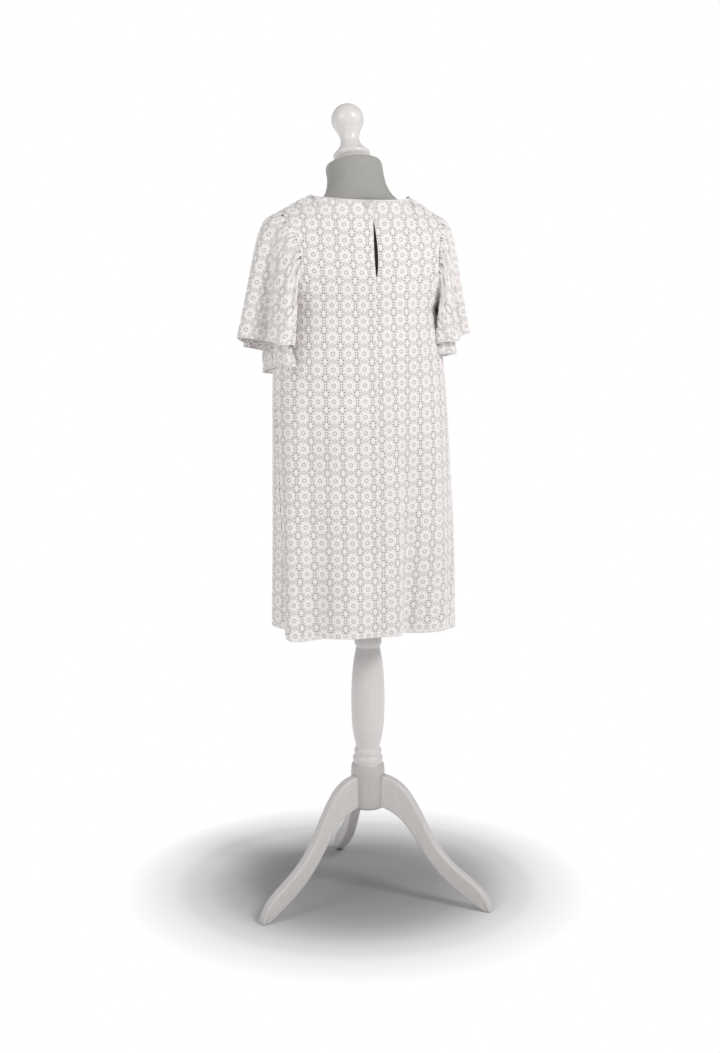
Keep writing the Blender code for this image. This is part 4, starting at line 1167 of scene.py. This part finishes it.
def shaded_lining_material():
    """Plain white lining, painted dark as painted shade behind the holes, where little light comes,
    and light at the neckline.
    """
    material = new_material("lining", (LINING_SHADE, LINING_SHADE, LINING_SHADE), 0.9)
    facing = add_node(material, "ShaderNodeAttribute", {"attribute_name": "facing"}).outputs["Fac"]
    threads = noise(material, 700.0, 2.0)
    # Painted shade over all of the lining except the band at the neckline.
    tone = ramp(material, facing, ((0.0, grey(LINING_SHADE, COTTON_WARM)),
                                   (1.0, grey(FACING_TONE, COTTON_WARM))))
    uneven = ramp(material, threads, ((0.3, grey(0.93)), (0.7, grey(1.0))))
    paint(material, multiplied(material, tone, uneven))
    add_bump(material, threads, 0.2, 0.0002)
    return material


def woven_material(name, tone, scale, roughness=0.9):
    """Plain cloth or thread: a fine uneven weave in tone and in relief."""
    material = new_material(name, grey(tone, 0.03), roughness)
    weave = noise(material, scale, 3.0)
    paint(material, ramp(material, weave, ((0.3, grey(tone * 0.9, 0.03)), (0.7, grey(tone, 0.03)))))
    add_bump(material, weave, 0.25, 0.0003)
    return material


def jersey_material():
    """Grey jersey: fine ribs of knitting, a little mottled."""
    material = new_material("jersey", (0.36, 0.36, 0.34), 0.95, sheen_weight=0.25)
    mottle = noise(material, 420.0, 5.0, roughness=0.7)
    paint(material, ramp(material, mottle, ((0.3, (0.30, 0.293, 0.278)), (0.7, (0.42, 0.41, 0.39)))))
    ribs = texture(material, "ShaderNodeTexVoronoi", scale=900.0)
    add_bump(material, ribs.outputs["Distance"], 0.3, 0.0004)
    return material


def paint_material(name, tone, roughness, grain, worn):
    """Painted wood: slight brush marks along the piece, and a little unevenness in the gloss."""
    material = new_material(name, grey(tone, 0.02), roughness, coat_weight=0.12, coat_roughness=0.25)
    marks = noise(material, 160.0, 6.0, stretch=(1.0, 1.0, 0.12), roughness=0.6)
    tones = ((0.25, grey(tone * (1 - worn), 0.06)), (0.7, grey(tone, 0.05)))
    paint(material, ramp(material, marks, tones))
    rough = add_node(material, "ShaderNodeMapRange",
                     to_min=roughness * 0.85, to_max=min(roughness * 1.25, 1.0))
    link(material, marks, rough.inputs["Value"])
    link(material, rough.outputs["Result"], shader_inputs(material)["Roughness"])
    add_bump(material, marks, grain, 0.0006)
    return material


def steel_material():
    """Brushed steel: fine lines round the tube."""
    material = new_material("steel", (0.55, 0.55, 0.56), 0.35, metallic=1.0)
    lines = noise(material, 1200.0, 2.0, stretch=(0.1, 0.1, 1.0))
    paint(material, ramp(material, lines, ((0.3, (0.44, 0.44, 0.45)), (0.7, (0.6, 0.6, 0.61)))))
    add_bump(material, lines, 0.15, 0.0002)
    return material


def pearl_material():
    """A clear, pearly button: cloudy white and pale grey under a glossy skin."""
    material = new_material("pearl", (0.78, 0.78, 0.77), 0.12, coat_weight=0.8, coat_roughness=0.05,
                            transmission_weight=0.25)
    cloud = noise(material, 260.0, 2.0)
    paint(material, ramp(material, cloud, ((0.35, (0.60, 0.61, 0.62)), (0.65, (0.9, 0.9, 0.89)))))
    return material


def floor_material():
    """White floor with a painted soft grey shadow round under the stand; far out it is as white as the
    backdrop.
    """
    material = new_material("floor", (0.9, 0.9, 0.9), 0.9)
    shader_inputs(material)["Specular IOR Level"].default_value = 0.0
    place = add_node(material, "ShaderNodeTexCoord")
    length = add_node(material, "ShaderNodeVectorMath", {"operation": "LENGTH"})
    link(material, place.outputs["Object"], length.inputs[0])
    far = length.outputs["Value"]
    # Painted shadow: the floor is grey under the stand and lighter further out.
    paint(material, ramp(material, far, [(r, grey(v)) for r, v in FLOOR_SHADE]))
    glow = add_node(material, "ShaderNodeEmission", color=(1, 1, 1, 1))
    share = ramp(material, far, ((FLOOR_GLOW[0], grey(0.0)), (FLOOR_GLOW[1], grey(1.0))))
    mix = add_node(material, "ShaderNodeMixShader")
    nodes = material.node_tree.nodes
    link(material, share, mix.inputs[0])
    link(material, nodes["Principled BSDF"].outputs["BSDF"], mix.inputs[1])
    link(material, glow.outputs["Emission"], mix.inputs[2])
    link(material, mix.outputs["Shader"], nodes["Material Output"].inputs["Surface"])
    return material


# ---------------------------------------------------------------- pieces

def edge_line(name, grid, normals, rows, columns, radius, material):
    """A thin strand along part of a grid's edge, given as lists of rows and columns."""
    line = [grid[r, c] + normals[r, c] * STRAND_LIFT for r, c in zip(rows, columns)]
    obj = add_tube(name, line, radius, material)
    return obj


def add_facing(obj, neckline):
    """Mark the band of the lining that faces the neckline, which is as light as the lace."""
    facing = obj.data.attributes.new("facing", "FLOAT", "POINT")
    line = np.array([tuple(p) for p in neckline])
    places = np.array([tuple(v.co) for v in obj.data.vertices])
    far = np.array([np.linalg.norm(line - p, axis=1).min() for p in places])
    band = np.clip((FACING_DEPTH - far) / FACING_EDGE, 0, 1)
    facing.data.foreach_set("value", band.astype(np.float32))


def build_body(lace, lining, edging):
    front = panel_grid(False, (-1, 1))
    left = panel_grid(True, (1,))
    right = panel_grid(True, (-1,))
    level = FINE * 2 * sum(row.steps for row in SKIRT[:-1])
    neck_columns = round(NECK_SHARE * FINE_COLUMNS)
    for name, grid, flip, node, middle, start, row_start in (
            ("front", front, False, "dress_front", FINE_COLUMNS, 0.0, LEFT_ROW),
            ("back_left", left, True, "dress_back_left", 0, LEFT_START, LEFT_ROW),
            ("back_right", right, False, "dress_back_right", 0, RIGHT_START, RIGHT_ROW)):
        rows, columns = grid.shape[:2]
        top = rows - 1
        normals = grid_normals(grid, False, flip)
        neck = range(max(middle - neck_columns, 0), middle + neck_columns + 1)
        lines = [("hem", [0] * columns, range(columns), HEM_EDGE),
                 ("neck", [top] * len(neck), neck, NECK_EDGE)]
        if name != "front":
            slit = [r for r in range(rows) if grid[r, 0, 2] > SLIT_LOW_Z - SLIT_EDGE_BELOW]
            lines.append(("slit", slit, [0] * len(slit), SLIT_EDGE))
        edges = [edge_line(f"{kind}_edge_{name}", grid, normals, *line, edging)
                 for kind, *line in lines]
        obj = add_lace("lace_" + name, grid, False, flip, middle, level, start, row_start, lace)
        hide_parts(node)
        inner = (grid - normals * LINING_DEPTH)[1:].reshape(-1, 3)
        under = add_piece("lining_" + name, inner, grid_faces(rows - 1, columns, flip=flip), lining)
        add_facing(under, grid[top, list(neck)])
    build_armhole_seams(front, left, right, level, edging)


def build_armhole_seams(front, left, right, level, edging):
    """A strand over each armhole's seam, where the sleeve's layers are sewn to the panels."""
    for name, back, column, side in (("left", left, -1, 1), ("right", right, 0, -1)):
        line = [back[r, FINE_COLUMNS] for r in range(level, len(back))]
        line += [front[r, column] for r in reversed(range(level, len(front) - 1))]
        line = [Vector(p) + Vector((side * ARMHOLE_SEAM_OUT, 0, 0)) for p in line]
        if (line[0] - line[-1]).length < 0.002:
            line.pop()
        obj = add_tube("armhole_seam_" + name, line, ARMHOLE_SEAM, edging, closed=True)


def build_sleeves(lace, edging):
    for sleeve in SLEEVE_SIDES:
        for layer in SLEEVE_LAYERS:
            grid = sleeve_grid(sleeve, layer)[::-1]
            name = f"sleeve_{sleeve.name}_{layer.name}"
            flip = sleeve.side > 0
            edge = add_tube("hem_edge_" + name, grid[0], HEM_EDGE, edging, closed=True)
            obj = add_lace("lace_" + name, grid, True, flip, SLEEVE_COLUMNS // 2, 0, 0.0,
                           SLEEVE_ROW, lace)
            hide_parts(name)


def build_button(pearl, thread):
    place, across, along, normal = nape_place()
    half = BUTTON_HEIGHT / 2
    profile = [(half * height, BUTTON_RADIUS * radius) for height, radius in BUTTON_PROFILE]
    turn = Matrix((across, along, across.cross(along))).transposed().to_4x4()
    if across.cross(along).dot(normal) < 0:
        turn = Matrix((along, across, along.cross(across))).transposed().to_4x4()
    button = add_turned("button", profile, pearl, Matrix.Translation(place) @ turn, steps=10,
                        smooth=False)
    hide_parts("nape_button")
    radius = BUTTON_RADIUS + LOOP_GAP + LOOP_WIRE
    centre = place - normal * (half * 0.2)
    line = [centre - across * LOOP_REACH + along * radius]
    for k in range(LOOP_STEPS + 1):
        a = math.radians(90 - 180 * k / LOOP_STEPS)
        line.append(centre + across * math.cos(a) * radius + along * math.sin(a) * radius)
    line.append(centre - across * LOOP_REACH - along * radius)
    loop = add_tube("loop", line, LOOP_WIRE, thread)
    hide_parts("nape_loop")


def build_form(jersey):
    rings = [form_ring(ring) for ring in FORM]
    columns = [smooth_path([ring[c] for ring in rings], [3] * (len(rings) - 1))
               for c in range(FORM_COLUMNS)]
    rows = len(columns[0])
    points = [columns[c][r] + AXIS for r in range(rows) for c in range(FORM_COLUMNS)]
    for point in points:
        if point.y > AXIS.y:
            point.y -= SLIT_HOLLOW * (bump(point.x, AXIS.x + BODY_X, HOLLOW_WIDTH)
                                      * bump(point.z, HOLLOW_Z, HOLLOW_HEIGHT))
    faces = grid_faces(rows, FORM_COLUMNS, wrap=True)
    faces.append(tuple(reversed(range(FORM_COLUMNS))))
    faces.append(tuple(range(len(points) - FORM_COLUMNS, len(points))))
    obj = add_piece("jersey_form", points, faces, jersey)
    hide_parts("form_torso")


def build_stand(paint, gloss, shaded_leg_paint, hub, steel):
    lean = Matrix.Rotation(NECK_TILT, 4, "X")
    base = FINIAL_BASE + lean.to_3x3() @ Vector((0, 0, SEAM_GAP)) + AXIS
    base.x += BODY_X
    ball = []
    for k in range(1, BALL_STEPS + 1):
        a = math.radians(90 - BALL_ARC / BALL_STEPS * k)
        ball.append((FINIAL_BALL_Z + FINIAL_BALL_RADIUS * math.sin(a),
                     FINIAL_BALL_RADIUS * math.cos(a)))
    profile = ball + finer(FINIAL_PROFILE[:-1], 3) + [FINIAL_PROFILE[-1]]
    obj = add_turned("finial", profile, gloss, Matrix.Translation(base) @ lean)
    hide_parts("form_finial")
    profile = list(POST_PROFILE[:6]) + finer(POST_PROFILE[6:], 4)
    for bead in POST_BEADS:
        profile += bead_profile(bead)
    profile += list(HUB_PROFILE)
    obj = add_turned("turned_post", profile, paint, Matrix.Translation(AXIS))
    # The hub at the post's foot takes the darker copy of the paint: painted shade.
    obj.data.materials.append(hub)
    for face in obj.data.polygons:
        if face.center.z < HUB_PROFILE[0][0]:
            face.material_index = 1
    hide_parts("stand_post")
    top, low = FORM[0].z - SEAM_GAP, POST_PROFILE[0][0] + SEAM_GAP
    profile = ((top, POLE_RADIUS), (low, POLE_RADIUS))
    obj = add_turned("pole", profile, steel, Matrix.Translation(AXIS), steps=48)
    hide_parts("stand_pole")
    # The legs take a darker copy of the white paint: painted shade.
    for number, azimuth in enumerate(LEG_AZIMUTHS, start=1):
        obj = add_leg(f"leg_{number}", azimuth, shaded_leg_paint)
        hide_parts(f"stand_leg_{number}")


def finer(profile, steps):
    """A turned profile with more points, on a smooth curve through the given ones."""
    path = smooth_path([Vector(p) for p in profile], [steps] * (len(profile) - 1))
    return [(p.x, p.y) for p in path]


def add_leg(name, azimuth, material):
    """A board cut to an S, with its long edges rounded over."""
    top = smooth_path([Vector(p) for p in LEG_TOP_EDGE], [4] * (len(LEG_TOP_EDGE) - 1))
    under = smooth_path([Vector(p) for p in LEG_UNDER_EDGE], [4] * (len(LEG_UNDER_EDGE) - 1))
    outline = top + [Vector(LEG_TOE)] + under
    count = len(outline)
    inward = []
    for i, p in enumerate(outline):
        before = (p - outline[i - 1]).normalized()
        after = (outline[(i + 1) % count] - p).normalized()
        way = before + after
        way = way.normalized() if way.length > 0.3 else before
        inward.append(Vector((way.y, -way.x)))
    if inward[len(top) // 2].y > 0:
        inward = [-v for v in inward]
    half, steps = LEG_THICKNESS / 2, 5
    levels = []
    for k in range(steps + 1):
        a = math.radians(90 * k / steps)
        levels.append((LEG_ROUND * (1 - math.sin(a)), half - LEG_ROUND * (1 - math.cos(a))))
    levels += [(depth, -across) for depth, across in reversed(levels)]
    turn = Matrix.Rotation(math.radians(azimuth), 3, "Z")
    points = []
    for depth, across in levels:
        for p, way in zip(outline, inward):
            q = p + way * depth
            x = q.x if p.x > LEG_TOP_EDGE[0][0] + MM else p.x - LEG_INTO_HUB
            points.append(turn @ Vector((x, across, max(q.y, 0.0))) + AXIS)
    faces = grid_faces(len(levels), count, wrap=True, flip=True)
    last = (len(levels) - 1) * count
    faces.append(tuple(range(count)))
    faces.append(tuple(last + k for k in reversed(range(count))))
    obj = add_piece(name, points, faces, material)
    for face in list(obj.data.polygons)[-2:]:
        face.use_smooth = False
    return obj


def camera_ways():
    """The picture's right and the way that the camera looks, on the floor plan."""
    a = math.radians(CAMERA_AZIMUTH)
    return Vector((math.cos(a), math.sin(a), 0)), Vector((-math.sin(a), math.cos(a), 0))


def build_floor(material):
    mesh = bpy.data.meshes.new("floor")
    mesh.from_pydata([(x, y, 0) for x, y in polygon(0, 0, FLOOR_RADIUS, FLOOR_RADIUS, 96)], [],
                     [tuple(range(96))])
    mesh.materials.append(material)
    floor = add_object("floor", mesh)
    right, away = camera_ways()
    floor.location = AXIS + away * FLOOR_AWAY + right * FLOOR_ASIDE


def area_light(name, place, target, size, power):
    data = bpy.data.lights.new(name, "AREA")
    data.shape = "SQUARE"
    data.size = size
    data.energy = power
    light = add_object(name, data)
    light.location = place
    light.rotation_mode = "QUATERNION"
    light.rotation_quaternion = (target - place).to_track_quat("-Z", "Y")


def build_camera():
    right, away = camera_ways()
    turn, pitch = math.radians(CAMERA_TURN), math.radians(CAMERA_PITCH)
    ahead = right * math.sin(turn) + away * math.cos(turn)
    forward = ahead * math.cos(pitch) - Vector((0, 0, math.sin(pitch)))
    data = bpy.data.cameras.new("camera")
    data.sensor_fit = "AUTO"
    data.sensor_width = 36.0
    data.lens = 36.0 * CAMERA_FOCUS / PICTURE_HEIGHT
    data.clip_start, data.clip_end = 0.1, 100
    camera = add_object("camera", data)
    camera.location = AXIS - away * CAMERA_DISTANCE + Vector((0, 0, CAMERA_HEIGHT))
    camera.rotation_mode = "QUATERNION"
    camera.rotation_quaternion = forward.to_track_quat("-Z", "Y")
    bpy.context.scene.camera = camera


def build_light():
    world = bpy.data.worlds.new("studio")
    world.use_nodes = True
    nodes, links = world.node_tree.nodes, world.node_tree.links
    soft = nodes["Background"]
    soft.inputs["Color"].default_value = (1, 1, 1, 1)
    soft.inputs["Strength"].default_value = SOFT_LIGHT
    backdrop = nodes.new("ShaderNodeBackground")
    backdrop.inputs["Color"].default_value = (1, 1, 1, 1)
    backdrop.inputs["Strength"].default_value = 1.0
    seen = nodes.new("ShaderNodeLightPath")
    mix = nodes.new("ShaderNodeMixShader")
    links.new(seen.outputs["Is Camera Ray"], mix.inputs[0])
    links.new(soft.outputs["Background"], mix.inputs[1])
    links.new(backdrop.outputs["Background"], mix.inputs[2])
    links.new(mix.outputs["Shader"], nodes["World Output"].inputs["Surface"])
    bpy.context.scene.world = world
    right, away = camera_ways()
    target = AXIS + Vector((0, 0, LIGHT_TARGET))
    for name, to_right, to_near, up, size, power in LIGHTS:
        place = target + right * to_right - away * to_near + Vector((0, 0, up))
        area_light(name, place, target, size, power)


def main():
    lace = lace_material()
    edging = woven_material("edging", 0.84, 1100.0)
    build_body(lace, shaded_lining_material(), edging)
    build_sleeves(lace, edging)
    build_button(pearl_material(), woven_material("thread", 0.8, 2600.0, 0.7))
    build_form(jersey_material())
    build_stand(*(paint_material(name, *look) for name, look in PAINTS.items()), steel_material())
    build_floor(floor_material())
    bpy.context.scene.view_settings.view_transform = "Standard"
    build_light()
    build_camera()


main()
